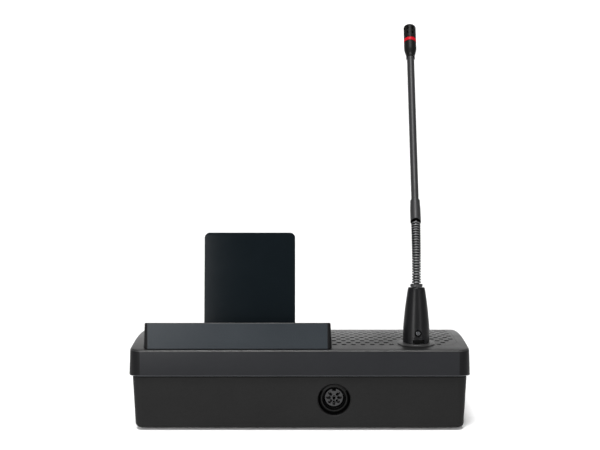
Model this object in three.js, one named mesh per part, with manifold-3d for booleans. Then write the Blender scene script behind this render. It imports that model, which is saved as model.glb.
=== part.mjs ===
// Conference delegate unit: a table-top microphone with a card reader, display, voting keys and loudspeaker.
// Millimetres, +Z up. The rear wall with the round connector faces -Y and the user sits on the +Y side.
// The origin lies under the middle of the housing, in the plane that the feet stand on.
import * as THREE from 'three';
import { mergeGeometries, mergeVertices } from 'three/addons/utils/BufferGeometryUtils.js';
import Module from 'manifold-3d';

const wasm = await Module();
wasm.setup();

// General
const degree = Math.PI / 180;
const fitGap = 0.3; // clearance between two pieces that seat on each other
const cutOverrun = 6; // how far a cutting tool runs past the face that it cuts
const rootOverlap = 0.2; // how far a ring or boss is sunk into the wall that carries it
const edgeBreak = 0.3; // small chamfer on turned edges
const cornerSteps = 4; // facets in a quarter turn of a plan corner
const smallCornerSteps = 2; // the same on keys, slots and windows
const edgeSteps = 3; // facets in the rounding of an upper edge

// Housing: the top cover overhangs the lower shell and meets it on a sloping joint
const bodyWidth = 200;
const bodyDepth = 144;
const bodyCornerRadius = 8;
const deckHeight = 47.6; // flat rear part of the deck
const deckFlatLength = 21.6; // from the rear edge to where the deck starts to fall
const deckArcRadius = 310; // the deck falls towards the user on this radius
const jointRearHeight = 32.2;
const jointFrontHeight = 12.2;
const jointGap = 0.6;
const coverWall = 2.4;
const coverTaper = 0.65; // how much narrower each side of the cover is at the deck than at the joint
const coverEdgeRadius = 1.3;

const shellInset = 1.9;
const shellWall = 2.4;
const shellFloor = 2.2;
const shellTaper = 1.2;
const shellFootRadius = 2.5;
const tongueHeight = 3;

const sideEdge = bodyWidth / 2;
const rearEdge = -bodyDepth / 2;
const frontEdge = bodyDepth / 2;
const deckBreak = rearEdge + deckFlatLength;

// Card reader tower on the left of the deck as seen from behind
const towerSideMargin = 8.85; // from the cover's side to the tower
const towerPastMiddle = 18.85; // how far the tower reaches past the middle of the housing
const towerSetback = 2.4; // from the rear edge of the cover to the tower's foot
const towerHeight = 15.8; // above the flat deck at the tower's rear edge
const towerDepth = 69.6;
const towerTopSlope = 12.5;
const displaySlope = 16;
const slotStripDepth = 26;
const towerWall = 2.6;
const towerTaper = 0.8;
const towerCornerRadius = 3;
const towerEdgeRadius = 0.7;
const deckOpeningInset = 4.5; // the deck is open under the tower, this far in from its walls
const deckOpeningRightInset = 11;

// Access card and its reader
const cardWidth = 53.98;
const cardLength = 85.6;
const cardThickness = 0.8;
const cardCornerRadius = 3.18;
const cardShown = 53.65;
const cardOffset = 6.5; // from the tower's middle to the card's
const cardFromTowerEdge = 16; // from the tower's rear top edge to the slot
const slotClearance = 0.5;
const readerWidth = 60;
const readerThickness = 6.4;
const readerFloor = 1.6;

// Display
const windowSideMargin = 15; // from the tower's side to the window
const windowRearMargin = 6.5; // from the crease in the tower's top to the window, along the slope
const windowFrontMargin = 8;
const windowThickness = 1.4;
const windowFrame = 2; // ledge that carries the window all round
const windowCornerRadius = 1.2;
const moduleBorder = 2; // module past the window at each side
const moduleTail = 3; // module past the window at each end
const moduleThickness = 4.2;

// Loudspeaker grille, let into the right of the deck
const grilleUnderTower = 4.85; // its left edge lies this far under the tower
const grilleSideMargin = 6.4;
const grilleRearMargin = 13;
const grilleFrontMargin = 48;
const grilleCornerRadius = 10;
const grilleThickness = 1.2;
const grilleLedge = 1.4;
const grilleHoleRadius = 1.5;
const grillePitch = 5.62;
const grilleHoleMargin = 2.6;
const grilleFirstInset = 6.6; // from the left edge to the first column
const grilleHoleSides = 6;
const rowsPerFacet = 3; // the deck's facets change between rows of holes

const speakerRadius = 25;
const speakerFrontMargin = 26; // from the grille's front edge to the speaker's middle
const speakerLeftMargin = 31; // from the grille's edge under the tower to the speaker's middle
const speakerFlange = 1.6;
const speakerDepth = 15;
const speakerRimWidth = 3.2;
const speakerMagnetRadius = 12;
const speakerMagnetHeight = 5.5;
const speakerSeatDrop = 2.2; // height of the seat ring under the grille
const speakerSeatWidth = 1.4;
const conePaper = 0.7;
const dustCapRadius = 6;
const dustCapTopRadius = 3.6;

// Gooseneck microphone: distances along the neck from the foot of the boot
const neckSideMargin = 30.8;
const neckRearMargin = 18.5;
const neckSides = 16; // facets round the neck's metal parts and the head
const neckTurn = 1.6; // the neck leans towards the user, turned this much to the side
const bootLean = 7;
const stemLean = 38;
const padRadius = 11;
const padProud = 0.9;
const padBarrelRadius = 7;
const padBarrelLength = 12;
const nutRadius = 9.5;
const nutHeight = 3;
const nutSides = 6;

const bootLength = 32.45;
const bootFootRadius = 7.87;
const bootTopRadius = 4.9;
const bootScrewHeight = 5.4;
const bootScrewOffset = 0.8;
const bootScrewRadius = 1.65;
const bootScrewSocket = 0.9;
const bootScrewRecessRadius = 2;
const bootScrewRecessDepth = 2.6;
const bootScrewSunk = 0.8;
const latchWidth = 6.8;
const latchHeight = 2.3;
const latchDepth = 3;
const latchSunk = 0.7;

const ringRadius = 3.68;
const ringLength = 1.7;
const flexLength = 37.7;
const flexRadius = 2.6;
const flexGrooveRadius = 2.12;
const flexLinks = 6;
const ribsPerLink = 4;
const ribSides = 8;
const linkGap = 0.5;
const spigotRadius = 1.15;
const spigotLength = 1.9; // from the face that carries it
const socketRadius = 1.75;
const socketDepth = 2;

const ferruleLength = 15.2;
const ferruleRadius = 3.12;
const ferruleTopRadius = 2.9;
const ferruleFlatShare = 0.52; // of its length, before it narrows
const ferruleStepShare = 0.82; // of its length, where it has narrowed half the way
const stemLength = 106.65;
const stemRadius = 2.25;
const stemTopRadius = 2.17;
const stemBore = 1.2;
const stemSpigotRadius = 1.6;
const stemSpigotLength = 3;

const headFootRadius = 2.66;
const headRadius = 3.96;
const headLowerLength = 12.65;
const headTaperLength = 8.3;
const headTaperShares = [[0.25, 0.08], [0.8, 0.87]]; // along the taper, and of its widening
const lightRingLength = 2.3;
const lightRingBore = 2.9;
const lightRingProud = 0.06;
const capLength = 10.65;
const capWall = 0.75;
const capEdgeRadius = 1.1;
const capEdgeBreak = 0.33; // where the rounded edge's middle facet ends, in from both faces
const capSlots = 8;
const capSlotWidth = 1.5;
const capSlotHeight = 3;
const capSlotPitch = 4.1;
const capsuleRadius = 2.8;
const capsuleLength = 5;

// Round connector in the rear wall
const dinX = 20.25;
const dinHeight = 17.4;
const dinHoleRadius = 9.5;
const dinRecess = 5;
const dinCupWall = 1.6;
const dinRingRadius = 7.05;
const dinInsertRadius = 5.42;
const dinInsertLength = 8.4;
const dinBaseLength = 1.4;
const dinShellWall = 0.5;
const dinBodyRadius = 8.4;
const dinBodyWall = 1.4;
const dinKeyWidth = 2.35;
const dinKeyDepth = 1.5;
const dinPinCircle = 3.2;
const dinPinAngles = [0, 45, 135, 180, 225, 270, 315]; // the place at 90 degrees, under the key, is left out
const dinSlotLength = 2.2;
const dinSlotWidth = 1.35;
const dinSlotCorner = 0.66;
const dinSlotDepth = 5.4;
const contactRadius = 0.42;
const contactLength = 4.4;

// Keys on the falling front of the deck, and the board beneath them
const keyRowMargin = 22; // from the front edge to the row of keys
const voteKeys = 5;
const voteKeyPitch = 18;
const voteKeyWidth = 14;
const voteKeyDepth = 8;
const voteKeyRadius = 2.4;
const keyProud = 1.6;
const keyTravel = 0.8;
const keyFlange = 1.2;
const keyFlangeHeight = 1;
const keyEdge = 0.8;
const keyEdgeBreak = 0.24; // where the rounded edge's middle facet ends, in from both faces
const plungerRadius = 1.6;
const talkKeyMargin = 38; // from the side to the talk key
const talkKeyRadius = 9;
const talkRingWidth = 2.4;
const talkKeyProud = 0.8; // lower than the others, so that it stays below the line of the flat rear deck
const talkKeyDish = 0.4; // the talk key's middle lies this much lower than its rim
const talkRingFlange = 1.4;
const keyBoardEnd = 2.5; // board past its outer posts
const keyBoardDepth = 15;
const keyBoardDrop = 8; // board top below the deck, square to it
const keyBoardThickness = 1.6;
const keyPostRadius = 2.4;
const voteKeyToPost = 11.35;
const talkKeyToPost = 21.5;

// Inside: main board, fixings and feet
const boardSideMargin = 17; // from the cover's edges to the board
const boardRearMargin = 22;
const boardFrontMargin = 30;
const boardThickness = 1.6;
const boardCornerRadius = 2;
const standoffRadius = 3;
const standoffHeight = 4;
const standoffInset = 6;
const boardScrewRadius = 1.1;
const boardScrewLength = 5.2;
const boardScrewHeadRadius = 2.3;
const boardScrewHeadHeight = 1.5;
const boardHoleRadius = 1.4;
const standoffHoleDepth = 3.3;
const caseScrewInset = 10; // from the cover's sides and rear
const caseScrewFrontInset = 11;
const caseBossRadius = 4;
const caseBossHeight = 8; // above the shell's floor
const caseHoleRadius = 1.7;
const caseScrewRadius = 1.4;
const caseScrewHeadRadius = 2.9;
const caseScrewHeadHeight = 1.8;
const caseCounterbore = 3.3;
const caseCounterboreDepth = 2.4;
const caseScrewReach = 5; // how far the screw goes into the cover's post
const footInset = 20; // from the cover's edges
const footRadius = 6;
const footHeight = 2;
const footRecess = 0.8;

// Materials
const finish = (color, roughness, metalness = 0) => (
  new THREE.MeshStandardMaterial({ color, roughness, metalness })
);
const coverPlastic = () => finish(0x3a3e43, 0.45);
const shellPlastic = () => finish(0x242425, 0.6);
const deckPlastic = () => finish(0x3c4044, 0.5);
const cardPlastic = () => finish(0x15191c, 0.3);
const blackPlastic = () => finish(0x1b1b1d, 0.45);
const blackMetal = () => finish(0x2a2b2d, 0.38, 0.7);
const redPlastic = () => finish(0xe11f33, 0.3);
const clearPlastic = () => finish(0xd9dde0, 0.3);
const glassy = () => finish(0x0a0c0f, 0.08);
const circuitGreen = () => finish(0x1f5a3a, 0.5);
const steel = () => finish(0xa8abad, 0.35, 0.9);
const contactMetal = () => finish(0xc9b27a, 0.3, 0.9);
const rubber = () => finish(0x161616, 0.85);
const paper = () => finish(0x2b2a28, 0.9);
const keyPlastic = () => finish(0xb9bcc0, 0.5);

// Solids: three.js shapes joined and cut by manifold
function solid(geometry) {
  const bare = geometry.index ? geometry.clone() : geometry;
  bare.deleteAttribute('normal');
  bare.deleteAttribute('uv');
  const merged = mergeVertices(bare, 1e-5);
  return new wasm.Manifold(new wasm.Mesh({
    numProp: 3,
    vertProperties: new Float32Array(merged.attributes.position.array),
    triVerts: new Uint32Array(merged.index.array),
  }));
}

function geometryOf(body) {
  const mesh = body.getMesh();
  const geometry = new THREE.BufferGeometry();
  geometry.setAttribute('position', new THREE.BufferAttribute(new Float32Array(mesh.vertProperties), 3));
  geometry.setIndex(new THREE.BufferAttribute(new Uint32Array(mesh.triVerts), 1));
  geometry.computeVertexNormals();
  return geometry;
}

// A closed skin over rings of points: each ring has as many points as the next, and a single point closes
// an end. Rings that are left open at an end are closed by strips between their mirrored halves.
function skin(rings) {
  const points = [];
  const faces = [];
  const starts = rings.map((ring) => {
    const start = points.length;
    points.push(...ring);
    return start;
  });
  const sides = Math.max(...rings.map((ring) => ring.length));
  for (let r = 0; r + 1 < rings.length; r++) {
    for (let i = 0; i < sides; i++) {
      const j = (i + 1) % sides;
      const [a, b] = [starts[r], starts[r + 1]];
      if (rings[r].length === 1) faces.push(a, b + j, b + i);
      else if (rings[r + 1].length === 1) faces.push(a + i, a + j, b);
      else faces.push(a + i, a + j, b + j, a + i, b + j, b + i);
    }
  }
  const closeEnd = (start, up) => {
    for (let i = 0; i + 1 < sides / 2; i++) {
      const [r0, r1] = [start + i, start + i + 1];
      const [l0, l1] = [start + sides - 1 - i, start + sides - 2 - i];
      if (up) faces.push(r0, r1, l1, r0, l1, l0);
      else faces.push(r0, l1, r1, r0, l0, l1);
    }
  };
  if (rings[0].length > 1) closeEnd(starts[0], false);
  if (rings[rings.length - 1].length > 1) closeEnd(starts[rings.length - 1], true);
  const geometry = new THREE.BufferGeometry();
  const flat = points.flatMap((p) => [p.x, p.y, p.z]);
  geometry.setAttribute('position', new THREE.BufferAttribute(new Float32Array(flat), 3));
  geometry.setIndex(faces);
  geometry.computeVertexNormals();
  return geometry;
}

// A rounded rectangle in plan, from its rear edge round the +X side to the front and back along the -X side.
// The straight sides get a point at each station between the corners, so that zAt may bend there.
function planRing(plan, zAt) {
  const { centreX = 0, halfWidth, rear, front, radius, inset = 0, stations = [], steps = cornerSteps } = plan;
  const r = Math.max(radius - inset, radius / cornerSteps);
  const corner = (y, from) => Array.from({ length: steps + 1 }, (_, i) => {
    const a = from + (i / steps) * (Math.PI / 2);
    return [halfWidth - inset - r + r * Math.cos(a), y + r * Math.sin(a)];
  });
  const side = stations.filter((y) => y > rear + 1.5 * radius && y < front - 1.5 * radius)
    .map((y) => [halfWidth - inset, y]);
  const half = [...corner(rear + inset + r, -Math.PI / 2), ...side, ...corner(front - inset - r, 0)];
  const right = half.map(([x, y]) => new THREE.Vector3(centreX + x, y, zAt(y)));
  const left = half.map(([x, y]) => new THREE.Vector3(centreX - x, y, zAt(y))).reverse();
  return [...right, ...left];
}

// Rings that round an upper edge of the given radius below the surface zAt.
function roundedTop(plan, inset, radius, zAt) {
  const rings = [];
  for (let i = 0; i <= edgeSteps; i++) {
    const a = (i / edgeSteps) * (Math.PI / 2);
    const drop = radius * (1 - Math.sin(a));
    rings.push(planRing({ ...plan, inset: inset + radius * (1 - Math.cos(a)) }, (y) => zAt(y) - drop));
  }
  return rings;
}

function box(width, depth, height, x, y, z) {
  return solid(new THREE.BoxGeometry(width, depth, height).translate(x, y, z));
}

// A cylinder along Z between two heights.
function post(radius, x, y, low, high, sides = 16) {
  const geometry = new THREE.CylinderGeometry(radius, radius, high - low, sides);
  return solid(geometry.rotateX(Math.PI / 2).translate(x, y, (low + high) / 2));
}

// A revolved profile of [radius, height] points that starts and ends on the Z axis.
function turned(profile, sides) {
  const points = profile.map(([r, z]) => new THREE.Vector2(r, z));
  return new THREE.LatheGeometry(points, sides).rotateX(Math.PI / 2);
}

function roundedShape(width, height, radius) {
  const shape = new THREE.Shape();
  const [w, h] = [width / 2, height / 2];
  shape.moveTo(-w + radius, -h);
  shape.lineTo(w - radius, -h);
  shape.absarc(w - radius, -h + radius, radius, -Math.PI / 2, 0);
  shape.lineTo(w, h - radius);
  shape.absarc(w - radius, h - radius, radius, 0, Math.PI / 2);
  shape.lineTo(-w + radius, h);
  shape.absarc(-w + radius, h - radius, radius, Math.PI / 2, Math.PI);
  shape.lineTo(-w, -h + radius);
  shape.absarc(-w + radius, -h + radius, radius, Math.PI, Math.PI * 1.5);
  return shape;
}

// A plate with rounded corners, from height low to height high.
function plate(width, depth, radius, low, high, curveSegments = cornerSteps) {
  const shape = roundedShape(width, depth, radius);
  const settings = { depth: high - low, bevelEnabled: false, curveSegments };
  return solid(new THREE.ExtrudeGeometry(shape, settings).translate(0, 0, low));
}

// A profile of [y, z] points extruded along X.
function alongX(points, from, to) {
  const shape = new THREE.Shape(points.map(([y, z]) => new THREE.Vector2(y, z)));
  const geometry = new THREE.ExtrudeGeometry(shape, { depth: to - from, bevelEnabled: false });
  const turn = new THREE.Matrix4().set(0, 0, 1, from, 1, 0, 0, 0, 0, 1, 0, 0, 0, 0, 0, 1);
  return solid(geometry.applyMatrix4(turn));
}

// Moves a solid that was made at the origin into a placed frame.
function placed(body, matrix) {
  return solid(geometryOf(body).applyMatrix4(matrix));
}

const part = new THREE.Group();

function show(name, shape, material, frame) {
  const geometry = shape.isBufferGeometry ? shape : geometryOf(shape);
  const mesh = new THREE.Mesh(geometry, material);
  mesh.name = name;
  if (frame) mesh.applyMatrix4(frame);
  part.add(mesh);
}

// The surfaces that several pieces follow
const deckZ = (y) => {
  const along = Math.max(0, y - deckBreak);
  return deckHeight - deckArcRadius + Math.sqrt(deckArcRadius ** 2 - along ** 2);
};
const deckSlope = (y) => Math.asin(Math.max(0, y - deckBreak) / deckArcRadius);
const jointZ = (y) => jointRearHeight + (jointFrontHeight - jointRearHeight) * ((y - rearEdge) / bodyDepth);
const grilleRear = rearEdge + grilleRearMargin;
const grilleFront = frontEdge - grilleFrontMargin;
const firstRowY = grilleRear + grilleHoleMargin;
const rowPitch = grillePitch * Math.sin(60 * degree);
const deckStations = [];
for (let y = firstRowY - rowPitch / 2; y < frontEdge; y += rowPitch * rowsPerFacet) {
  deckStations.push(y);
}
const shellPlan = { halfWidth: sideEdge, rear: rearEdge, front: frontEdge, radius: bodyCornerRadius };
const coverPlan = { ...shellPlan, stations: deckStations };

// A frame that stands square on the deck at x, y, with its Z axis out of the deck.
function deckFrame(x, y) {
  const frame = new THREE.Matrix4().makeTranslation(x, y, deckZ(y));
  return frame.multiply(new THREE.Matrix4().makeRotationX(-deckSlope(y)));
}

// Tower surfaces: a sloping strip with the card slot, then the display face
const towerWidth = sideEdge - towerSideMargin + towerPastMiddle;
const towerCentreX = towerPastMiddle - towerWidth / 2;
const towerRear = rearEdge + towerSetback;
const towerFront = towerRear + towerDepth;
const towerTopRear = towerRear + towerTaper;
const towerTopHeight = deckHeight + towerHeight;
const stripFront = towerTopRear + slotStripDepth;
const stripZ = (y) => towerTopHeight - (y - towerTopRear) * Math.tan(towerTopSlope * degree);
const towerZ = (y) => (y <= stripFront
  ? stripZ(y)
  : stripZ(stripFront) - (y - stripFront) * Math.tan(displaySlope * degree));
const towerPlan = {
  centreX: towerCentreX, halfWidth: towerWidth / 2,
  rear: towerRear, front: towerFront, radius: towerCornerRadius,
  stations: [...deckStations, stripFront].sort((a, b) => a - b),
};

// Card frame: origin where the card leaves the slot, Z along the card, Y through its thickness
const cardY = towerTopRear + cardFromTowerEdge;
const cardCentreX = towerCentreX + cardOffset;
const cardFrame = new THREE.Matrix4().makeTranslation(cardCentreX, cardY, stripZ(cardY))
  .multiply(new THREE.Matrix4().makeRotationX(-towerTopSlope * degree));

// Display frame: origin at the window's centre on the display face, Z out of the face
const windowWidth = towerWidth - 2 * windowSideMargin;
const displayLength = (towerFront - stripFront) / Math.cos(displaySlope * degree);
const windowLength = displayLength - windowRearMargin - windowFrontMargin;
const displayFrame = new THREE.Matrix4().makeTranslation(towerCentreX, stripFront, stripZ(stripFront))
  .multiply(new THREE.Matrix4().makeRotationX(-displaySlope * degree))
  .multiply(new THREE.Matrix4().makeTranslation(0, windowRearMargin + windowLength / 2, 0));

// Neck curve: straight through the boot, an even bend through the flexible part, then straight
const neckX = sideEdge - neckSideMargin;
const neckY = rearEdge + neckRearMargin;
const flexStart = bootLength + fitGap + ringLength + linkGap;
const flexEnd = flexStart + flexLength;
function neckAt(s) {
  const sideways = new THREE.Vector2(Math.sin(neckTurn * degree), Math.cos(neckTurn * degree));
  const [a0, a1] = [bootLean * degree, stemLean * degree];
  const bendRadius = flexLength / (a1 - a0);
  const first = Math.min(s, flexStart);
  let [out, up, lean] = [first * Math.sin(a0), first * Math.cos(a0), a0];
  if (s > flexStart) {
    lean = a0 + Math.min(1, (s - flexStart) / flexLength) * (a1 - a0);
    out += bendRadius * (Math.cos(a0) - Math.cos(lean));
    up += bendRadius * (Math.sin(lean) - Math.sin(a0));
  }
  if (s > flexEnd) {
    out += (s - flexEnd) * Math.sin(a1);
    up += (s - flexEnd) * Math.cos(a1);
  }
  const foot = new THREE.Vector3(neckX, neckY, deckHeight + padProud);
  const centre = foot.add(new THREE.Vector3(out * sideways.x, out * sideways.y, up));
  const turn = new THREE.Matrix4().makeRotationZ(-neckTurn * degree)
    .multiply(new THREE.Matrix4().makeRotationX(-lean));
  return new THREE.Matrix4().makeTranslation(centre).multiply(turn);
}

// A round piece on the neck, from a profile of [distance along the neck, radius] pairs.
// Radius 0 closes an end.
function onNeck(profile, sides) {
  const rings = profile.map(([s, r]) => {
    const frame = neckAt(s);
    if (r === 0) return [new THREE.Vector3().applyMatrix4(frame)];
    return Array.from({ length: sides }, (_, i) => {
      const a = (i / sides) * 2 * Math.PI;
      return new THREE.Vector3(r * Math.cos(a), r * Math.sin(a), 0).applyMatrix4(frame);
    });
  });
  return skin(rings);
}

// A tube on the neck: an outer profile from its foot to its top, bored right through.
function tubeOnNeck(outer, bore, sides) {
  const [low, high] = [outer[0][0], outer[outer.length - 1][0]];
  const hollow = onNeck([
    [low - cutOverrun, 0], [low - cutOverrun, bore], [high + cutOverrun, bore], [high + cutOverrun, 0],
  ], sides);
  return solid(onNeck([[low, 0], ...outer, [high, 0]], sides)).subtract(solid(hollow));
}

// Top cover
const caseScrewX = sideEdge - caseScrewInset;
const [caseScrewRear, caseScrewFront] = [rearEdge + caseScrewInset, frontEdge - caseScrewFrontInset];
const casePlaces = [
  [-caseScrewX, caseScrewRear], [caseScrewX, caseScrewRear],
  [-caseScrewX, caseScrewFront], [caseScrewX, caseScrewFront],
];
const keyRowY = frontEdge - keyRowMargin;
const talkKeyX = sideEdge - talkKeyMargin;
const voteKeyPlaces = Array.from({ length: voteKeys }, (_, i) => (
  towerCentreX + (i - (voteKeys - 1) / 2) * voteKeyPitch
));
const [firstVoteKey, lastVoteKey] = [voteKeyPlaces[0], voteKeyPlaces[voteKeys - 1]];
const keyPostPlaces = [firstVoteKey - voteKeyToPost, (lastVoteKey + talkKeyX) / 2, talkKeyX + talkKeyToPost];
const grilleLeftX = towerPastMiddle - grilleUnderTower;
const grilleRightX = sideEdge - grilleSideMargin;

// The space between two depths below the deck; a negative depth is above it.
function underDeck(deep, shallow) {
  const stations = [rearEdge, ...deckStations, frontEdge];
  const profile = (depth) => stations.map((y) => [y, deckZ(y) - depth]);
  return alongX([...profile(deep), ...profile(shallow).reverse()], -sideEdge, sideEdge);
}

// The grille's outline, square beside the tower and round at its free corners, grown by a margin.
function grilleOutline(grow) {
  const [left, right] = [grilleLeftX - grow, grilleRightX + grow];
  const [rear, front, radius] = [grilleRear - grow, grilleFront + grow, grilleCornerRadius + grow];
  const shape = new THREE.Shape();
  shape.moveTo(left, rear);
  shape.lineTo(right - radius, rear);
  shape.absarc(right - radius, rear + radius, radius, -Math.PI / 2, 0);
  shape.lineTo(right, front - radius);
  shape.absarc(right - radius, front - radius, radius, 0, Math.PI / 2);
  shape.lineTo(left, front);
  const height = 2 * bodyWidth;
  const settings = { depth: height, bevelEnabled: false, curveSegments: cornerSteps };
  return solid(new THREE.ExtrudeGeometry(shape, settings).translate(0, 0, -height / 2));
}

// A cylinder through the deck where the microphone stands.
function throughDeck(radius) {
  return post(radius, neckX, neckY, deckHeight - cutOverrun, deckHeight + cutOverrun);
}

function topCover() {
  const upperEdge = roundedTop(coverPlan, coverTaper, coverEdgeRadius, deckZ);
  const outer = solid(skin([planRing(coverPlan, jointZ), ...upperEdge]));
  const cavity = solid(skin([
    planRing({ ...coverPlan, inset: coverWall }, (y) => jointZ(y) - cutOverrun),
    planRing({ ...coverPlan, inset: coverWall + coverTaper }, (y) => deckZ(y) - coverWall),
  ]));
  let cover = outer.subtract(cavity);
  const belowDeck = underDeck(deckHeight, rootOverlap);
  for (const [x, y] of casePlaces) {
    const low = shellFloor + caseBossHeight + fitGap;
    const holeTop = low + caseScrewReach + fitGap;
    cover = cover.add(post(caseBossRadius, x, y, low, deckHeight, 8).intersect(belowDeck));
    cover = cover.subtract(post(caseHoleRadius, x, y, low - cutOverrun, holeTop, 6));
  }
  for (const x of keyPostPlaces) {
    const keyPost = post(keyPostRadius, 0, 0, fitGap - keyBoardDrop, -coverWall / 2, 6);
    cover = cover.add(placed(keyPost, deckFrame(x, keyRowY)));
  }
  const left = towerCentreX - towerWidth / 2 + deckOpeningInset;
  const right = towerCentreX + towerWidth / 2 - deckOpeningRightInset;
  const rear = towerRear + deckOpeningInset;
  const front = towerFront - deckOpeningInset;
  const [middleX, middleY] = [(left + right) / 2, (rear + front) / 2];
  const underTower = box(right - left, front - rear, deckHeight, middleX, middleY, deckHeight);
  const grillePocket = grilleOutline(fitGap).intersect(underDeck(grilleThickness + fitGap, -cutOverrun));
  const socketLand = throughDeck(padRadius);
  const grilleOpening = grilleOutline(-grilleLedge).intersect(underDeck(coverWall + cutOverrun, -cutOverrun))
    .subtract(socketLand);
  const padHole = throughDeck(padBarrelRadius + fitGap);
  cover = cover.subtract(underTower).subtract(grillePocket).subtract(grilleOpening).subtract(padHole);
  for (const x of voteKeyPlaces) {
    const [width, depth] = [voteKeyWidth + 2 * fitGap, voteKeyDepth + 2 * fitGap];
    const hole = plate(width, depth, voteKeyRadius + fitGap, -cutOverrun, cutOverrun, smallCornerSteps);
    cover = cover.subtract(placed(hole, deckFrame(x, keyRowY)));
  }
  const talkHole = post(talkKeyRadius + talkRingWidth + 2 * fitGap, 0, 0, -cutOverrun, cutOverrun, 24);
  return cover.subtract(placed(talkHole, deckFrame(talkKeyX, keyRowY)));
}

show('top_cover', topCover(), coverPlastic());

// Perforated grille with the seat ring for the loudspeaker beneath it
const speakerFrame = deckFrame(grilleLeftX + speakerLeftMargin, grilleFront - speakerFrontMargin);
const speakerTop = -(grilleThickness + speakerSeatDrop + fitGap);

// All the holes as one body of separate prisms, in rows that are staggered by half the pitch.
function grilleHoles() {
  const holes = [];
  const lastRow = grilleFront - grilleHoleMargin;
  const right = grilleRightX - grilleHoleMargin;
  const corner = grilleCornerRadius;
  for (let row = 0; firstRowY + row * rowPitch <= lastRow; row++) {
    const y = firstRowY + row * rowPitch;
    const start = grilleLeftX + grilleFirstInset + (row % 2) * (grillePitch / 2);
    for (let x = start; x <= right; x += grillePitch) {
      const beyondX = Math.max(0, x - (grilleRightX - corner));
      const beyondY = Math.max(0, grilleRear + corner - y, y - (grilleFront - corner));
      const outside = beyondX > 0 && Math.hypot(beyondX, beyondY) > corner - grilleHoleMargin;
      const underPad = Math.hypot(x - neckX, y - neckY) < padRadius + grilleHoleRadius;
      if (outside || underPad) continue;
      const radius = grilleHoleRadius;
      const hole = new THREE.CylinderGeometry(radius, radius, 2 * deckHeight, grilleHoleSides);
      holes.push(hole.rotateX(Math.PI / 2).rotateZ(Math.PI / 2).translate(x, y, deckHeight));
    }
  }
  return solid(mergeGeometries(holes));
}

function speakerGrille() {
  const outer = post(speakerRadius, 0, 0, speakerTop + fitGap, 0, 20);
  const inner = post(speakerRadius - speakerSeatWidth, 0, 0, speakerTop - cutOverrun, cutOverrun, 20);
  const below = underDeck(coverWall + cutOverrun, grilleThickness - rootOverlap);
  const seat = placed(outer.subtract(inner), speakerFrame).intersect(below);
  const barrelHole = throughDeck(padBarrelRadius + fitGap);
  const panel = grilleOutline(0).intersect(underDeck(grilleThickness, 0));
  return panel.subtract(grilleHoles()).add(seat).subtract(barrelHole);
}

show('speaker_grille', speakerGrille(), deckPlastic());

// Loudspeaker
function speakerParts() {
  const magnetTop = speakerTop - speakerDepth + speakerMagnetHeight;
  const rim = speakerRadius - speakerRimWidth;
  const throat = magnetTop + conePaper + fitGap + speakerFlange;
  const frameProfile = [
    [0, speakerTop - speakerDepth], [speakerMagnetRadius, speakerTop - speakerDepth],
    [speakerMagnetRadius, magnetTop], [rim, speakerTop - 2 * speakerFlange],
    [speakerRadius, speakerTop - speakerFlange], [speakerRadius, speakerTop],
    [rim, speakerTop], [dustCapRadius, throat], [0, throat],
  ];
  const paperLow = throat + fitGap;
  const coneProfile = [
    [0, paperLow], [dustCapRadius - fitGap, paperLow], [rim - speakerFlange / 2, speakerTop],
    [rim - speakerFlange - conePaper, speakerTop], [dustCapRadius, paperLow + conePaper + fitGap],
    [dustCapTopRadius, paperLow + 2 * speakerFlange], [0, paperLow + 2 * speakerFlange + conePaper],
  ];
  show('speaker_frame', turned(frameProfile, 20), blackMetal(), speakerFrame);
  show('speaker_cone', turned(coneProfile, 20), paper(), speakerFrame);
}
speakerParts();

// Tower with the card slot and the display window's frame
function tower() {
  const foot = (y) => deckZ(y) + fitGap;
  const upperEdge = roundedTop(towerPlan, towerTaper, towerEdgeRadius, towerZ);
  const outer = solid(skin([planRing(towerPlan, foot), ...upperEdge]));
  const cavity = solid(skin([
    planRing({ ...towerPlan, inset: towerWall }, (y) => deckZ(y) - cutOverrun),
    planRing({ ...towerPlan, inset: towerWall + towerTaper }, (y) => towerZ(y) - towerWall),
  ]));
  const slotWidth = cardWidth + 2 * slotClearance;
  const slot = box(slotWidth, cardThickness + 2 * slotClearance, 2 * cutOverrun, 0, 0, 0);
  const windowPlate = (grow, low, high) => plate(
    windowWidth + 2 * grow, windowLength + 2 * grow, windowCornerRadius, low, high, smallCornerSteps,
  );
  const recess = windowPlate(fitGap, -windowThickness - fitGap, cutOverrun);
  const opening = windowPlate(-windowFrame, -cutOverrun, 0);
  return outer.subtract(cavity).subtract(placed(slot, cardFrame))
    .subtract(placed(recess, displayFrame)).subtract(placed(opening, displayFrame));
}

show('card_reader_tower', tower(), coverPlastic());

// Display window and the module behind it
show(
  'display_window',
  plate(windowWidth, windowLength, windowCornerRadius, -windowThickness, 0, smallCornerSteps),
  glassy(), displayFrame,
);
const [moduleWidth, moduleLength] = [windowWidth + 2 * moduleBorder, windowLength + 2 * moduleTail];
const moduleTop = -towerWall * Math.cos(displaySlope * degree) - fitGap;
show(
  'display_module',
  plate(moduleWidth, moduleLength, windowCornerRadius, moduleTop - moduleThickness, moduleTop, 1),
  circuitGreen(), displayFrame,
);

// Card reader and the card that stands in it
const cardInserted = cardLength - cardShown;
function cardReader() {
  const top = -towerWall * Math.cos(towerTopSlope * degree) - fitGap;
  const slotFloor = -cardInserted - fitGap;
  const bottom = slotFloor - readerFloor;
  const block = box(readerWidth, readerThickness, top - bottom, 0, 0, (top + bottom) / 2);
  const slotWidth = cardWidth + 2 * slotClearance;
  const slotThickness = cardThickness + 2 * slotClearance;
  const slotHeight = top - slotFloor + cutOverrun;
  return block.subtract(box(slotWidth, slotThickness, slotHeight, 0, 0, slotFloor + slotHeight / 2));
}

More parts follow.
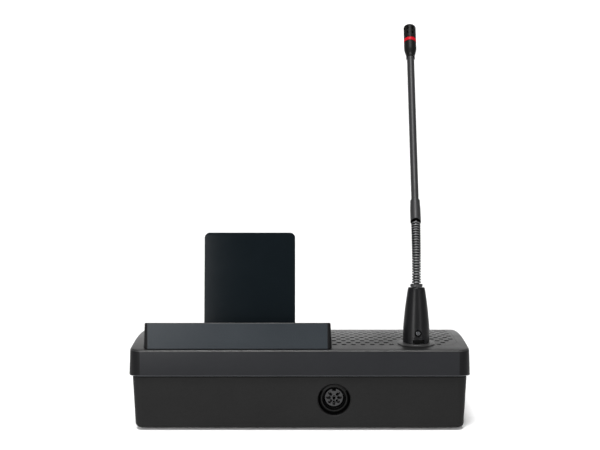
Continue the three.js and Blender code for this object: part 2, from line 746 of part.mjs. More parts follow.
function accessCard() {
  const middle = (cardShown - cardInserted) / 2;
  const lying = plate(cardWidth, cardLength, cardCornerRadius, -cardThickness / 2, cardThickness / 2);
  return placed(lying, new THREE.Matrix4().makeTranslation(0, 0, middle)
    .multiply(new THREE.Matrix4().makeRotationX(Math.PI / 2)));
}

show('card_reader', cardReader(), blackPlastic(), cardFrame);
show('access_card', accessCard(), cardPlastic(), cardFrame);

// Lower shell with its screw bosses, board standoffs, foot recesses and the recess for the round connector
const dinFaceY = rearEdge + shellInset + shellTaper / 2 + dinRecess;
const dinFrame = new THREE.Matrix4().makeTranslation(dinX, dinFaceY, dinHeight)
  .multiply(new THREE.Matrix4().makeRotationX(Math.PI / 2));
const boardWidth = bodyWidth - 2 * boardSideMargin;
const boardDepth = bodyDepth - boardRearMargin - boardFrontMargin;
const boardCentreY = (boardRearMargin - boardFrontMargin) / 2;
const standoffPlaces = [[-1, -1], [1, -1], [-1, 1], [1, 1]].map(([sx, sy]) => [
  sx * (boardWidth / 2 - standoffInset), boardCentreY + sy * (boardDepth / 2 - standoffInset),
]);
const [footX, footY] = [sideEdge - footInset, frontEdge - footInset];
const footPlaces = [[-footX, -footY], [footX, -footY], [-footX, footY], [footX, footY]];
const boardLow = shellFloor + standoffHeight + fitGap;

function lowerShell() {
  const walls = [];
  for (let i = 0; i <= edgeSteps; i++) {
    const a = (i / edgeSteps) * (Math.PI / 2);
    const inset = shellInset + shellTaper + shellFootRadius * (1 - Math.sin(a));
    walls.push(planRing({ ...shellPlan, inset }, () => shellFootRadius * (1 - Math.cos(a))));
  }
  walls.push(planRing({ ...shellPlan, inset: shellInset }, (y) => jointZ(y) - jointGap));
  const tongue = solid(skin([
    planRing({ ...shellPlan, inset: coverWall + fitGap }, (y) => jointZ(y) - jointGap - shellWall),
    planRing({ ...shellPlan, inset: coverWall + coverTaper + fitGap }, (y) => jointZ(y) + tongueHeight),
  ]));
  const cavity = solid(skin([
    planRing({ ...shellPlan, inset: shellInset + shellTaper + shellWall }, () => shellFloor),
    planRing({ ...shellPlan, inset: shellInset + shellWall }, (y) => jointZ(y) + tongueHeight + cutOverrun),
  ]));
  let shell = solid(skin(walls)).add(tongue).subtract(cavity);
  for (const [x, y] of casePlaces) {
    const bossTop = shellFloor + caseBossHeight;
    shell = shell.add(post(caseBossRadius, x, y, shellFloor / 2, bossTop, 8));
    shell = shell.subtract(post(caseHoleRadius, x, y, -cutOverrun, bossTop + cutOverrun, 6));
    shell = shell.subtract(post(caseCounterbore, x, y, -cutOverrun, caseCounterboreDepth, 8));
  }
  for (const [x, y] of standoffPlaces) {
    const top = shellFloor + standoffHeight;
    shell = shell.add(post(standoffRadius, x, y, shellFloor / 2, top, 6));
    shell = shell.subtract(post(boardHoleRadius, x, y, top - standoffHoleDepth, top + cutOverrun, 6));
  }
  for (const [x, y] of footPlaces) {
    shell = shell.subtract(post(footRadius + fitGap, x, y, -cutOverrun, footRecess, 12));
  }
  const wallDepth = dinRecess - shellTaper / 2 - shellWall / 2;
  const cup = post(dinHoleRadius + dinCupWall, 0, 0, -dinCupWall, wallDepth, 24);
  const recess = post(dinHoleRadius, 0, 0, 0, dinRecess + cutOverrun, 24);
  const hole = post(dinRingRadius, 0, 0, -cutOverrun, cutOverrun, 24);
  const key = box(dinKeyWidth, 2 * dinRingRadius, 2 * cutOverrun, 0, dinShellWall + fitGap, 0);
  return shell.add(placed(cup, dinFrame)).subtract(placed(recess.add(hole).add(key), dinFrame));
}

show('bottom_shell', lowerShell(), shellPlastic());

// Round connector: metal housing, insulating insert with its slots, and one contact in each slot
function dinHousing() {
  const barrel = dinRingRadius - fitGap;
  const bore = barrel - dinShellWall;
  const bodyTop = -dinCupWall - fitGap;
  const boreFloor = -fitGap - dinInsertLength - fitGap;
  const profile = [
    [0, boreFloor - dinBodyWall], [dinBodyRadius, boreFloor - dinBodyWall], [dinBodyRadius, bodyTop],
    [barrel, bodyTop], [barrel, -fitGap], [bore, -fitGap], [bore, boreFloor], [0, boreFloor],
  ];
  const key = box(dinKeyWidth, barrel, -2 * bodyTop, 0, barrel, 0);
  return solid(turned(profile, 24)).subtract(key);
}

const dinSlotPlaces = [[0, 90], ...dinPinAngles.map((angle) => [dinPinCircle, angle])];
function dinSlotFrame(radius, angle) {
  return new THREE.Matrix4().makeRotationZ(angle * degree)
    .multiply(new THREE.Matrix4().makeTranslation(radius, 0, 0));
}

function dinInsert() {
  const base = -fitGap - dinInsertLength;
  const flange = dinRingRadius - dinShellWall - 2 * fitGap;
  const profile = [
    [0, base], [flange, base], [flange, base + dinBaseLength], [dinInsertRadius, base + dinBaseLength],
    [dinInsertRadius, -fitGap], [0, -fitGap],
  ];
  let insert = solid(turned(profile, 24));
  for (const [radius, angle] of dinSlotPlaces) {
    const slot = plate(dinSlotLength, dinSlotWidth, dinSlotCorner, -fitGap - dinSlotDepth, cutOverrun, 1);
    insert = insert.subtract(placed(slot, dinSlotFrame(radius, angle)));
  }
  const keyDepth = dinKeyDepth + dinRingRadius;
  const keyCentre = dinInsertRadius - dinKeyDepth + keyDepth / 2;
  return insert.subtract(box(dinKeyWidth, keyDepth, 2 * dinSlotDepth, 0, keyCentre, 0));
}

show('din_housing', dinHousing(), blackMetal(), dinFrame);
show('din_insert', dinInsert(), blackPlastic(), dinFrame);
dinSlotPlaces.forEach(([radius, angle], i) => {
  const low = -dinSlotDepth;
  const shift = dinSlotLength / 2 - contactRadius - fitGap;
  const contact = post(contactRadius, shift, 0, low, low + contactLength, 6);
  const frame = dinFrame.clone().multiply(dinSlotFrame(radius, angle));
  show(`din_contact_${i + 1}`, contact, contactMetal(), frame);
});

// Fixings, feet and boards
casePlaces.forEach(([x, y], i) => {
  const headTop = caseCounterboreDepth - fitGap;
  const profile = [
    [0, headTop - caseScrewHeadHeight], [caseScrewHeadRadius, headTop - caseScrewHeadHeight],
    [caseScrewHeadRadius, headTop], [caseScrewRadius, headTop],
    [caseScrewRadius, shellFloor + caseBossHeight + fitGap + caseScrewReach],
    [0, shellFloor + caseBossHeight + fitGap + caseScrewReach],
  ];
  show(`case_screw_${i + 1}`, turned(profile, 8), steel(), new THREE.Matrix4().makeTranslation(x, y, 0));
});

footPlaces.forEach(([x, y], i) => {
  const top = footRecess - fitGap;
  const bevel = footHeight / 4;
  const profile = [
    [0, top - footHeight], [footRadius - bevel, top - footHeight], [footRadius, top - footHeight + bevel],
    [footRadius, top], [0, top],
  ];
  show(`foot_${i + 1}`, turned(profile, 12), rubber(), new THREE.Matrix4().makeTranslation(x, y, 0));
});

function mainBoard() {
  let board = plate(boardWidth, boardDepth, boardCornerRadius, boardLow, boardLow + boardThickness, 1);
  board = placed(board, new THREE.Matrix4().makeTranslation(0, boardCentreY, 0));
  for (const [x, y] of standoffPlaces) {
    board = board.subtract(post(boardHoleRadius, x, y, boardLow - cutOverrun, boardLow + cutOverrun, 6));
  }
  return board;
}

show('main_board', mainBoard(), circuitGreen());
standoffPlaces.forEach(([x, y], i) => {
  const seat = boardLow + boardThickness + fitGap;
  const profile = [
    [0, seat - boardScrewLength], [boardScrewRadius, seat - boardScrewLength], [boardScrewRadius, seat],
    [boardScrewHeadRadius, seat], [boardScrewHeadRadius, seat + boardScrewHeadHeight],
    [0, seat + boardScrewHeadHeight],
  ];
  show(`board_screw_${i + 1}`, turned(profile, 8), steel(), new THREE.Matrix4().makeTranslation(x, y, 0));
});

// Keys: a cap through the deck, a flange that holds it in, and a plunger above the key board
const plungerEnd = keyTravel + fitGap - keyBoardDrop;
function voteKey() {
  const cap = {
    halfWidth: voteKeyWidth / 2, rear: -voteKeyDepth / 2, front: voteKeyDepth / 2, radius: voteKeyRadius,
    steps: smallCornerSteps,
  };
  const flangeTop = -coverWall - fitGap;
  const flangeLow = flangeTop - keyFlangeHeight;
  const body = solid(skin([planRing(cap, () => flangeLow), ...roundedTop(cap, 0, keyEdge, () => keyProud)]));
  const grow = 2 * keyFlange;
  const flangeCorner = voteKeyRadius + keyFlange;
  const flange = plate(voteKeyWidth + grow, voteKeyDepth + grow, flangeCorner, flangeLow, flangeTop, 1);
  return body.add(flange).add(post(plungerRadius, 0, 0, plungerEnd, flangeTop, 8));
}

voteKeyPlaces.forEach((x, i) => {
  show(`vote_key_${i + 1}`, voteKey(), keyPlastic(), deckFrame(x, keyRowY));
});

function talkKeyParts() {
  const frame = deckFrame(talkKeyX, keyRowY);
  const [ringIn, ringOut] = [talkKeyRadius + fitGap, talkKeyRadius + fitGap + talkRingWidth];
  const flangeTop = -coverWall - fitGap;
  const ringLow = flangeTop - keyFlangeHeight;
  const ringProfile = [
    [ringIn, ringLow], [ringOut + talkRingFlange, ringLow], [ringOut + talkRingFlange, flangeTop],
    [ringOut, flangeTop], [ringOut, 0], [ringOut - edgeBreak, edgeBreak],
    [ringIn, edgeBreak], [ringIn, ringLow],
  ];
  const keyFlangeTop = ringLow - fitGap;
  const keyProfile = [
    [0, plungerEnd], [plungerRadius, plungerEnd], [plungerRadius, keyFlangeTop - keyFlangeHeight],
    [talkKeyRadius + keyFlange, keyFlangeTop - keyFlangeHeight], [talkKeyRadius + keyFlange, keyFlangeTop],
    [talkKeyRadius, keyFlangeTop], [talkKeyRadius, talkKeyProud - keyEdge],
    [talkKeyRadius - keyEdgeBreak, talkKeyProud - keyEdgeBreak], [talkKeyRadius - keyEdge, talkKeyProud],
    [talkKeyRadius / 2, talkKeyProud - talkKeyDish], [0, talkKeyProud - talkKeyDish],
  ];
  show('talk_ring', turned(ringProfile, 24), clearPlastic(), frame);
  show('talk_key', turned(keyProfile, 24), keyPlastic(), frame);
}
talkKeyParts();

const [keyBoardLeft, keyBoardRight] = [keyPostPlaces[0] - keyBoardEnd, keyPostPlaces[2] + keyBoardEnd];
const keyBoardMiddle = -keyBoardDrop - keyBoardThickness / 2;
show(
  'key_board',
  box(keyBoardRight - keyBoardLeft, keyBoardDepth, keyBoardThickness, 0, 0, keyBoardMiddle),
  circuitGreen(), deckFrame((keyBoardLeft + keyBoardRight) / 2, keyRowY),
);

// Microphone socket: a flat pad on the deck, a barrel through it and a nut beneath
function socketParts() {
  const nutTop = -coverWall - fitGap;
  const profile = [
    [0, -padBarrelLength], [padBarrelRadius, -padBarrelLength], [padBarrelRadius, fitGap],
    [padRadius, fitGap], [padRadius, padProud - edgeBreak], [padRadius - edgeBreak, padProud], [0, padProud],
  ];
  const place = new THREE.Matrix4().makeTranslation(neckX, neckY, deckHeight);
  const nut = post(nutRadius, 0, 0, nutTop - nutHeight, nutTop, nutSides)
    .subtract(post(padBarrelRadius + fitGap, 0, 0, nutTop - cutOverrun, nutTop + cutOverrun, 16));
  show('mic_socket', turned(profile, 24), coverPlastic(), place);
  show('mic_socket_nut', nut, steel(), place);
}
socketParts();

// Boot of the microphone: a tapered moulding, cut level at its foot, with a screw and a latch behind
// Each pair is a share of the boot's length and the share of its widening that is left there.
const bootTaperShares = [
  [0, 1], [0.265, 0.972], [0.414, 0.832], [0.6, 0.637], [0.782, 0.383], [0.932, 0.145], [0.985, 0.02],
];
const bootRadius = (share) => bootTopRadius + (bootFootRadius - bootTopRadius) * share;
const rearOfBoot = (s, x) => neckAt(s).multiply(new THREE.Matrix4().makeTranslation(x, -bootFootRadius, 0))
  .multiply(new THREE.Matrix4().makeRotationX(Math.PI / 2));
const bootFoot = new THREE.Matrix4().makeTranslation(neckX, neckY, deckHeight + padProud);

function boot() {
  const rings = bootTaperShares.map(([s, share]) => [s * bootLength, bootRadius(share)]);
  const profile = [
    [-cutOverrun, 0], [-cutOverrun, bootFootRadius], ...rings,
    [bootLength, bootRadius(0) - edgeBreak], [bootLength, 0],
  ];
  const below = box(4 * bootFootRadius, 4 * bootFootRadius, 2 * cutOverrun, 0, 0, fitGap - cutOverrun);
  const screwRecess = post(bootScrewRecessRadius, 0, 0, -bootScrewRecessDepth, cutOverrun, 12);
  const latchTop = latchHeight + fitGap;
  const notch = box(latchWidth, 2 * latchDepth, 2 * latchTop, 0, 0, 0);
  return solid(onNeck(profile, 24)).subtract(placed(below, bootFoot))
    .subtract(placed(screwRecess, rearOfBoot(bootScrewHeight, bootScrewOffset)))
    .subtract(placed(notch, latchFrame()));
}

function latchFrame() {
  return bootFoot.clone().multiply(new THREE.Matrix4().makeTranslation(bootScrewOffset, -bootFootRadius, 0));
}

function bootScrew() {
  const low = fitGap - bootScrewRecessDepth;
  const head = post(bootScrewRadius, 0, 0, low, -bootScrewSunk, 12);
  return head.subtract(post(bootScrewSocket, 0, 0, (low - bootScrewSunk) / 2, cutOverrun, 6));
}

function bootLatch() {
  const [width, height] = [latchWidth - 2 * fitGap, latchHeight - fitGap];
  const depth = latchDepth - fitGap - latchSunk;
  return box(width, depth, height, 0, latchSunk + depth / 2, 2 * fitGap + height / 2 - fitGap / 2);
}

show('mic_boot', boot(), blackPlastic());
show('boot_screw', bootScrew(), steel(), rearOfBoot(bootScrewHeight, bootScrewOffset));
show('boot_latch', bootLatch(), blackPlastic(), latchFrame());

// Collar above the boot, the links of the flexible neck and the ferrule that ends it
function collar() {
  const low = bootLength + fitGap;
  const high = low + ringLength;
  return onNeck([
    [low, 0], [low, ringRadius - edgeBreak], [low + edgeBreak, ringRadius], [high - edgeBreak, ringRadius],
    [high, ringRadius - edgeBreak], [high, spigotRadius],
    [high + spigotLength, spigotRadius], [high + spigotLength, 0],
  ], neckSides);
}

const linkPitch = flexLength / flexLinks;
const linkLength = linkPitch - linkGap;
function flexLink(index) {
  const low = flexStart + index * linkPitch;
  const ribPitch = linkLength / ribsPerLink;
  const profile = [[low + socketDepth, 0], [low + socketDepth, socketRadius], [low, socketRadius]];
  for (let rib = 0; rib < ribsPerLink; rib++) {
    profile.push([low + rib * ribPitch, flexGrooveRadius], [low + (rib + 0.5) * ribPitch, flexRadius]);
  }
  const high = low + linkLength;
  profile.push([high, flexGrooveRadius], [high, spigotRadius], [high + spigotLength, spigotRadius]);
  profile.push([high + spigotLength, 0]);
  return onNeck(profile, ribSides);
}

function ferrule() {
  const [low, high] = [flexEnd, flexEnd + ferruleLength];
  const step = (ferruleRadius + ferruleTopRadius) / 2;
  return onNeck([
    [low + socketDepth, 0], [low + socketDepth, socketRadius], [low, socketRadius],
    [low, ferruleRadius - edgeBreak], [low + edgeBreak, ferruleRadius],
    [low + ferruleLength * ferruleFlatShare, ferruleRadius], [low + ferruleLength * ferruleStepShare, step],
    [high, ferruleTopRadius], [high, stemSpigotRadius + fitGap],
    [high - stemSpigotLength, stemSpigotRadius + fitGap], [high - stemSpigotLength, 0],
  ], neckSides);
}

show('boot_collar', collar(), blackMetal());
for (let i = 0; i < flexLinks; i++) {
  show(`flex_link_${i + 1}`, flexLink(i), blackMetal());
}
show('ferrule', ferrule(), blackMetal());

// Stem tube and the microphone head
const stemStart = flexEnd + ferruleLength + fitGap;
const stemEnd = stemStart + stemLength;
const headStart = stemEnd + fitGap;
const ringStart = headStart + headLowerLength + fitGap;
const capStart = ringStart + lightRingLength + fitGap;

function stem() {
  const spigotEnd = stemStart - stemSpigotLength + fitGap;
  return tubeOnNeck([
    [spigotEnd, stemSpigotRadius], [stemStart, stemSpigotRadius],
    [stemStart, stemRadius], [stemEnd, stemTopRadius],
  ], stemBore, neckSides);
}

function headHousing() {
  const spigot = stemBore - fitGap;
  const carrier = lightRingBore - fitGap;
  const carrierEnd = capStart + capWall + fitGap;
  return onNeck([
    [headStart - stemSpigotLength, 0], [headStart - stemSpigotLength, spigot], [headStart, spigot],
    [headStart, headFootRadius - edgeBreak], [headStart + edgeBreak, headFootRadius],
    ...headTaperShares.map(([along, out]) => [
      headStart + headTaperLength * along, headFootRadius + (headRadius - headFootRadius) * out,
    ]),
    [headStart + headTaperLength, headRadius], [headStart + headLowerLength, headRadius],
    [headStart + headLowerLength, carrier], [carrierEnd, carrier], [carrierEnd, 0],
  ], neckSides);
}

function lightRing() {
  return tubeOnNeck([
    [ringStart, headRadius], [ringStart + edgeBreak, headRadius + lightRingProud],
    [ringStart + lightRingLength - edgeBreak, headRadius + lightRingProud],
    [ringStart + lightRingLength, headRadius],
  ], lightRingBore, neckSides);
}

function headGrille() {
  const top = capStart + capLength;
  const outer = onNeck([
    [capStart, 0], [capStart, headRadius], [top - capEdgeRadius, headRadius],
    [top - capEdgeBreak, headRadius - capEdgeBreak], [top, headRadius - capEdgeRadius], [top, 0],
  ], neckSides);
  const inner = onNeck([
    [capStart - cutOverrun, 0], [capStart - cutOverrun, headRadius - capWall],
    [top - capWall, headRadius - capWall], [top - capWall, 0],
  ], neckSides);
  let cap = solid(outer).subtract(solid(inner));
  for (let i = 0; i < capSlots; i++) {
    const turn = new THREE.Matrix4().makeRotationZ(((i + 0.5) / capSlots) * 2 * Math.PI);
    for (const rise of [-0.5, 0.5]) {
      const s = capStart + capLength / 2 + rise * capSlotPitch;
      const slot = box(2 * headRadius, capSlotWidth, capSlotHeight, headRadius, 0, 0);
      cap = cap.subtract(placed(slot, neckAt(s).multiply(turn)));
    }
  }
  return cap;
}

function capsule() {
  const low = capStart + capWall + 2 * fitGap;
  const high = low + capsuleLength;
  return onNeck([[low, 0], [low, capsuleRadius], [high, capsuleRadius], [high, 0]], 12);
}

show('stem', stem(), blackMetal());
show('head_housing', headHousing(), blackMetal());
show('light_ring', lightRing(), redPlastic());
show('head_grille', headGrille(), blackMetal());
show('mic_capsule', capsule(), steel());

// The feet stand on z = 0.
part.position.z = footHeight + fitGap - footRecess;

export default part;
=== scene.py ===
# A desk microphone with a card reader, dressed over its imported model. Lengths are in millimetres, heights are
# above the lower shell's underside, and make() turns both into metres above the floor.
from math import asin, ceil, cos, hypot, pi, radians, sin, sqrt, tan
import bmesh
import bpy
from mathutils import Matrix, Vector


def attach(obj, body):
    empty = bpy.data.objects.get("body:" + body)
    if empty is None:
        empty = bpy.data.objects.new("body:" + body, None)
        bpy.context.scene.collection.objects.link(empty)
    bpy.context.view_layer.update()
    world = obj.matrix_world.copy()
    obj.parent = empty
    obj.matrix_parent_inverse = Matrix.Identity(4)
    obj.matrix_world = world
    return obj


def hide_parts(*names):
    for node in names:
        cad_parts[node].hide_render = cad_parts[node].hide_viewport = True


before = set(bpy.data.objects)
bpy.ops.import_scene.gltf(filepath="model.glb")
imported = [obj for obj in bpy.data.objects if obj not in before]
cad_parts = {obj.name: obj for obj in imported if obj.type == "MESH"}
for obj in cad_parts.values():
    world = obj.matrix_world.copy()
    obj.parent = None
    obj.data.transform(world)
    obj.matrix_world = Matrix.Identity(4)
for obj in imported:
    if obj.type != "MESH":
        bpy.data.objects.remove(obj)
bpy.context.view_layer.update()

scene = bpy.context.scene

# General
METRE = 0.001
LIFT = 1.5  # the feet hold the lower shell this far above the floor
GAP = 0.3  # clearance between neighbouring pieces
PAST = 6  # how far a tool reaches past what it cuts
QUARTER = pi / 2
FINE, ROUND, SMALL, TINY = 96, 64, 32, 16  # facets round a turned piece, by how large it is seen
CORNER = 12  # facets in a quarter turn of a plan corner
EDGE, SMALL_EDGE = 6, 4  # facets in the rounding of an edge
BREAK, SMALL_BREAK = 0.15, 0.08  # broken edges of turned parts
SHARP = radians(32)  # faces that meet at more than this keep a sharp edge
SLIVER = 1e-6  # metres, and no edge shorter than this is left by a cut
BEVEL_STEPS, BEVEL_ANGLE = 2, radians(40)
# Faces are sorted by these shares into lighter and darker copies of one plastic: painted light and shade
TOP_FACE = 0.3  # the upward share of the normal from which a face counts as a top
SIDE_FACE = 0.19  # its sideways share for a side
UNDER_FACE = 0.97  # and its downward share for a level underside

# Housing
WIDTH, DEPTH, CORNER_RADIUS = 200, 144, 8
SIDE, REAR, FRONT = WIDTH / 2, -DEPTH / 2, DEPTH / 2
DECK, DECK_FLAT, DECK_ARC = 47.6, 21.6, 310
DECK_BREAK = REAR + DECK_FLAT
JOINT_REAR, JOINT_FRONT, JOINT_GAP = 32.2, 12.2, 0.6
COVER_WALL, COVER_TAPER, COVER_EDGE, COVER_LIP = 2.4, 0.65, 1.3, 0.7
SHELL_INSET, SHELL_WALL, SHELL_FLOOR = 1.9, 2.4, 2.2
SHELL_TAPER, SHELL_FOOT, TONGUE = 1.2, 2.5, 3
SHELL_BREAK, SHELL_BREAK_IN = 0.3, 0.25
FOOT_INSET, FOOT_RADIUS, FOOT_HIGH, FOOT_RECESS, FOOT_SIDES = 20, 6, 2, 0.8, 48
FOOT_EDGE = ((0, 1), (0.15, 0.5), (0.6, 0))  # heights above a foot's sole, and how far in its side is
SCREW_INSET, SCREW_FRONT_INSET, COUNTERBORE, COUNTERBORE_DEEP = 10, 11, 3.3, 1.2

# Tower and card
TOWER_LEFT, TOWER_RIGHT = -91.15, 18.85
TOWER_WIDTH = TOWER_RIGHT - TOWER_LEFT
TOWER_X = (TOWER_LEFT + TOWER_RIGHT) / 2
TOWER_REAR, TOWER_FRONT = REAR + 2.4, REAR + 72
TOWER_TOP = DECK + 15.8
TOWER_SLOPE, DISPLAY_SLOPE = radians(12.5), radians(16)
TOWER_WALL, TOWER_TAPER, TOWER_CORNER, TOWER_EDGE, TOWER_BREAK = 2.6, 0.8, 3, 0.7, 0.2
TOP_REAR = TOWER_REAR + TOWER_TAPER
STRIP_FRONT = TOP_REAR + 26
OPENING_INSET, OPENING_RIGHT_INSET = 4.5, 11
CARD_WIDTH, CARD_LENGTH, CARD_THICK, CARD_RADIUS = 53.98, 85.6, 0.8, 3.18
CARD_SHOWN, CARD_OFFSET, CARD_BACK, CARD_EDGE = 53.65, 6.5, 16, 0.12
CARD_STEPS, CARD_SHARP = 16, radians(60)
SLOT_CLEAR, SLOT_CORNER = 0.5, 0.4
LEAD_WIDER, LEAD_CORNER, LEAD_DEEP = 1.6, 0.9, 0.351

# Display
WINDOW_SIDE, WINDOW_REAR, WINDOW_FRONT = 15, 6.5, 8
WINDOW_THICK, WINDOW_FRAME, WINDOW_RADIUS, WINDOW_EDGE = 1.4, 2, 1.2, 0.25

# Loudspeaker grille
GRILLE_LEFT, GRILLE_RIGHT = 14, 93.6
GRILLE_REAR, GRILLE_FRONT = REAR + 13, FRONT - 48
GRILLE_RADIUS, GRILLE_THICK, GRILLE_LEDGE = 10, 1.2, 1.4
HOLE_RADIUS, HOLE_PITCH, HOLE_MARGIN, HOLE_FIRST = 1.5, 5.62, 2.6, 6.6
HOLE_SIDES, HOLE_BREAK, HOLE_PAST = 20, 0.14, 1
ROW_PITCH = HOLE_PITCH * sin(radians(60))
SPEAKER_RADIUS, SEAT_WIDTH, SEAT_DROP, SEAT_CLEAR, HAIRLINE = 25, 1.4, 2.2, 0.02, 0.12
SPEAKER_X, SPEAKER_Y = GRILLE_LEFT + 31, GRILLE_FRONT - 26

# Neck
NECK_X, NECK_Y = SIDE - 30.8, REAR + 18.5
NECK_TURN, BOOT_LEAN, STEM_LEAN = radians(1.6), radians(7), radians(38)
PAD_RADIUS, PAD_PROUD, PAD_IN, PAD_FILLET, PAD_STEPS = 11, 0.9, 0.2, 1.6, 3
BARREL_RADIUS, BARREL_LENGTH = 7, 12
BOOT_LENGTH, BOOT_FOOT, BOOT_TOP, BOOT_ROWS = 32.45, 7.87, 4.9, 40
BOOT_TAPER = [  # shares of the boot's length, and of the step from its top radius to its foot radius
    (0, 1), (0.124, 0.995), (0.265, 0.969), (0.414, 0.846), (0.6, 0.639), (0.782, 0.388), (0.932, 0.147),
    (0.985, 0.03),
]
BOOT_CROWN = ((0.5, -0.12), (0.2, 0.05), (0, 0.3))  # distances below the top, and inside the radius
SCREW_RISE, SCREW_X, SCREW_RADIUS, SCREW_EDGE, SCREW_STEPS = 5.6, 0.8, 1.4, 0.3, 3
SCREW_HOLE, SCREW_DEEP, SCREW_SUNK, FLARE, FLARE_PROUD = 2, 2.6, 0.9, 0.35, 0.15
CROSS_WIDTH, CROSS_LENGTH, CROSS_HEIGHT, CROSS_TURN = 0.55, 2.1, 1.2, 0.5
LATCH_WIDTH, LATCH_HEIGHT, LATCH_DEPTH, LATCH_SUNK, LATCH_EDGE = 6.8, 2.3, 3, 1.2, 0.3
LIP_LOW, LIP_HIGH, LIP_PROUD, LIP_EDGE, LIP_FADE, LIP_ENDS = 1.8, 1.4, 0.3, 0.1, 0.4, 1
COLLAR_RADIUS, COLLAR_LENGTH, COLLAR_EDGE = 3.68, 1.7, 0.3
COLLAR_CROWN = ((0.35, 0), (0.1, 0.12), (0, 0.4))
FLEX_LENGTH, FLEX_RADIUS, FLEX_GROOVE, LINKS, RIBS, LINK_GAP = 37.7, 2.82, 1.95, 6, 4, 0.5
RIB_STEPS, RIB_FULLNESS, LINK_SIDES = 8, 0.75, 40
BALL_RADIUS, BALL_STEPS, SOCKET_RADIUS, SOCKET_DEPTH = 1.7, 8, 1.75, 2
FERRULE_LENGTH, FERRULE_RADIUS, FERRULE_TOP, FERRULE_BORE = 15.2, 3.18, 2.94, 1.9
FERRULE_STRAIGHT, FERRULE_FALL, FERRULE_STEPS = 0.5, 0.45, 10
STEM_LENGTH, STEM_RADIUS, STEM_TOP, STEM_SPIGOT, SPIGOT_RADIUS = 106.65, 2.27, 2.34, 3, 1.6
HEAD_FOOT, HEAD_RADIUS, HEAD_LOWER, HEAD_TAPER = 2.78, 4, 12.65, 8.3
HEAD_BAND, HEAD_BREAK, HEAD_STRAIGHT, HEAD_STEPS = 0.3, 0.06, 0.1, 16
MOUTH, MOUTH_WALL, MOUTH_SLANT, SLANT_REACH, SLANT_CURVE, ON_AXIS = 1.2, 0.2, 1.3, 6, 1.5, 0.1
RING_LENGTH, RING_BORE, RING_PROUD, RING_EDGE = 2.3, 2.9, 0.06, 0.2
CAP_LENGTH, CAP_WALL, CAP_EDGE, CAP_STEPS = 10.62, 0.75, 1.3, 8
CAP_SLOTS, CAP_SLOT_WIDTH, CAP_SLOT_HEIGHT, CAP_SLOT_PITCH = 8, 1.2, 2.8, 4.1
CAP_SLOT_ROUND, CAP_SLOT_FROM, CAP_SLOT_STEPS = 0.45, 2.2, 5
CAPSULE_RADIUS, CAPSULE_LENGTH, CAPSULE_EDGE = 2.8, 5, 0.2

# Round connector
DIN_X, DIN_Z, DIN_HOLE, DIN_RECESS, DIN_CUP = 20.25, 17.4, 9.5, 5, 1.6
DIN_RING, DIN_INSERT, DIN_INSERT_LENGTH, DIN_BASE = 7.05, 5.42, 8.4, 1.4
DIN_SHELL, DIN_BODY, DIN_BODY_WALL, DIN_BREAK, INSERT_BREAK = 0.5, 8.4, 1.4, 0.12, 0.2
DIN_KEY, DIN_KEY_DEEP, DIN_KEY_RISE = 2.35, 1.5, 0.5
RIM_LOW, RIM_HIGH, RIM_OUT = 0.2, 0.3, 0.5
DOME_CREST, DOME_BREAK, DOME_IN, DOME_INNER, DOME_OUTER = 2.2, 0.1, 0.5, 0.3, 0.7
DOME_SLOPE = ((0.75, 1.2), (0.45, 1.8))  # shares of the crest's height, and distances outside the ring
DIN_CIRCLE, DIN_ANGLES = 3.2, (0, 45, 135, 180, 225, 270, 315)
SLOT_LENGTH, SLOT_WIDTH, SLOT_DEPTH, SLOT_ROUND, SLOT_STEPS = 2.8, 1.7, 5.4, 0.49, 6
CONTACT_RADIUS, CONTACT_LENGTH, CONTACT_OUT, CONTACT_TIP, CONTACT_NARROW = 0.42, 3.4, 0.38, 0.3, 0.2

# The connector's surroundings, by where a face of the shell is, for painted shade and painted light there
ABOVE, INSIDE_WALL = 0.55, 1.2  # a share of its distance from the axis, and a depth behind the wall's face
NEAR, BARELY, DOME_SIDE = 0.2, 0.05, 0.75
STEEP, SLANTED = 0.5, 0.95  # the rearward share of the normal below which a face counts as such

# Keys
KEY_Y, KEY_PITCH, KEYS = FRONT - 22, 18, 5
KEY_WIDTH, KEY_DEPTH, KEY_RADIUS, KEY_PROUD, KEY_TRAVEL = 14, 8, 2.4, 1.6, 0.8
KEY_FLANGE, KEY_FLANGE_HIGH, KEY_EDGE, KEY_STEPS, PLUNGER = 1.2, 1, 0.8, 5, 1.6
FLANGE_OVERLAP, STALK_OVERLAP = 0.1, 0.4
TALK_X, TALK_RADIUS, TALK_RING, TALK_FLANGE = SIDE - 38, 9, 2.4, 1.4
TALK_RING_STEP, TALK_RING_PROUD = 0.2, 0.3
TALK_PROUD, TALK_DISH, DISH_OUTER, DISH_FALL = 0.8, 0.4, 0.88, 0.78
BOARD_DROP = 8


# Surfaces
def deck_z(y):
    along = max(0.0, y - DECK_BREAK)
    return DECK - DECK_ARC + sqrt(DECK_ARC ** 2 - along ** 2)


def deck_slope(y):
    return asin(max(0.0, y - DECK_BREAK) / DECK_ARC)


def joint_z(y):
    return JOINT_REAR + (JOINT_FRONT - JOINT_REAR) * (y - REAR) / DEPTH


def strip_z(y):
    return TOWER_TOP - (y - TOP_REAR) * tan(TOWER_SLOPE)


def tower_z(y):
    if y <= STRIP_FRONT:
        return strip_z(y)
    return strip_z(STRIP_FRONT) - (y - STRIP_FRONT) * tan(DISPLAY_SLOPE)


# Places
def move(x, y, z):
    return Matrix.Translation((x, y, z))


def turn(angle, axis):
    return Matrix.Rotation(angle, 4, axis)


def deck_frame(x, y):
    return move(x, y, deck_z(y)) @ turn(-deck_slope(y), "X")


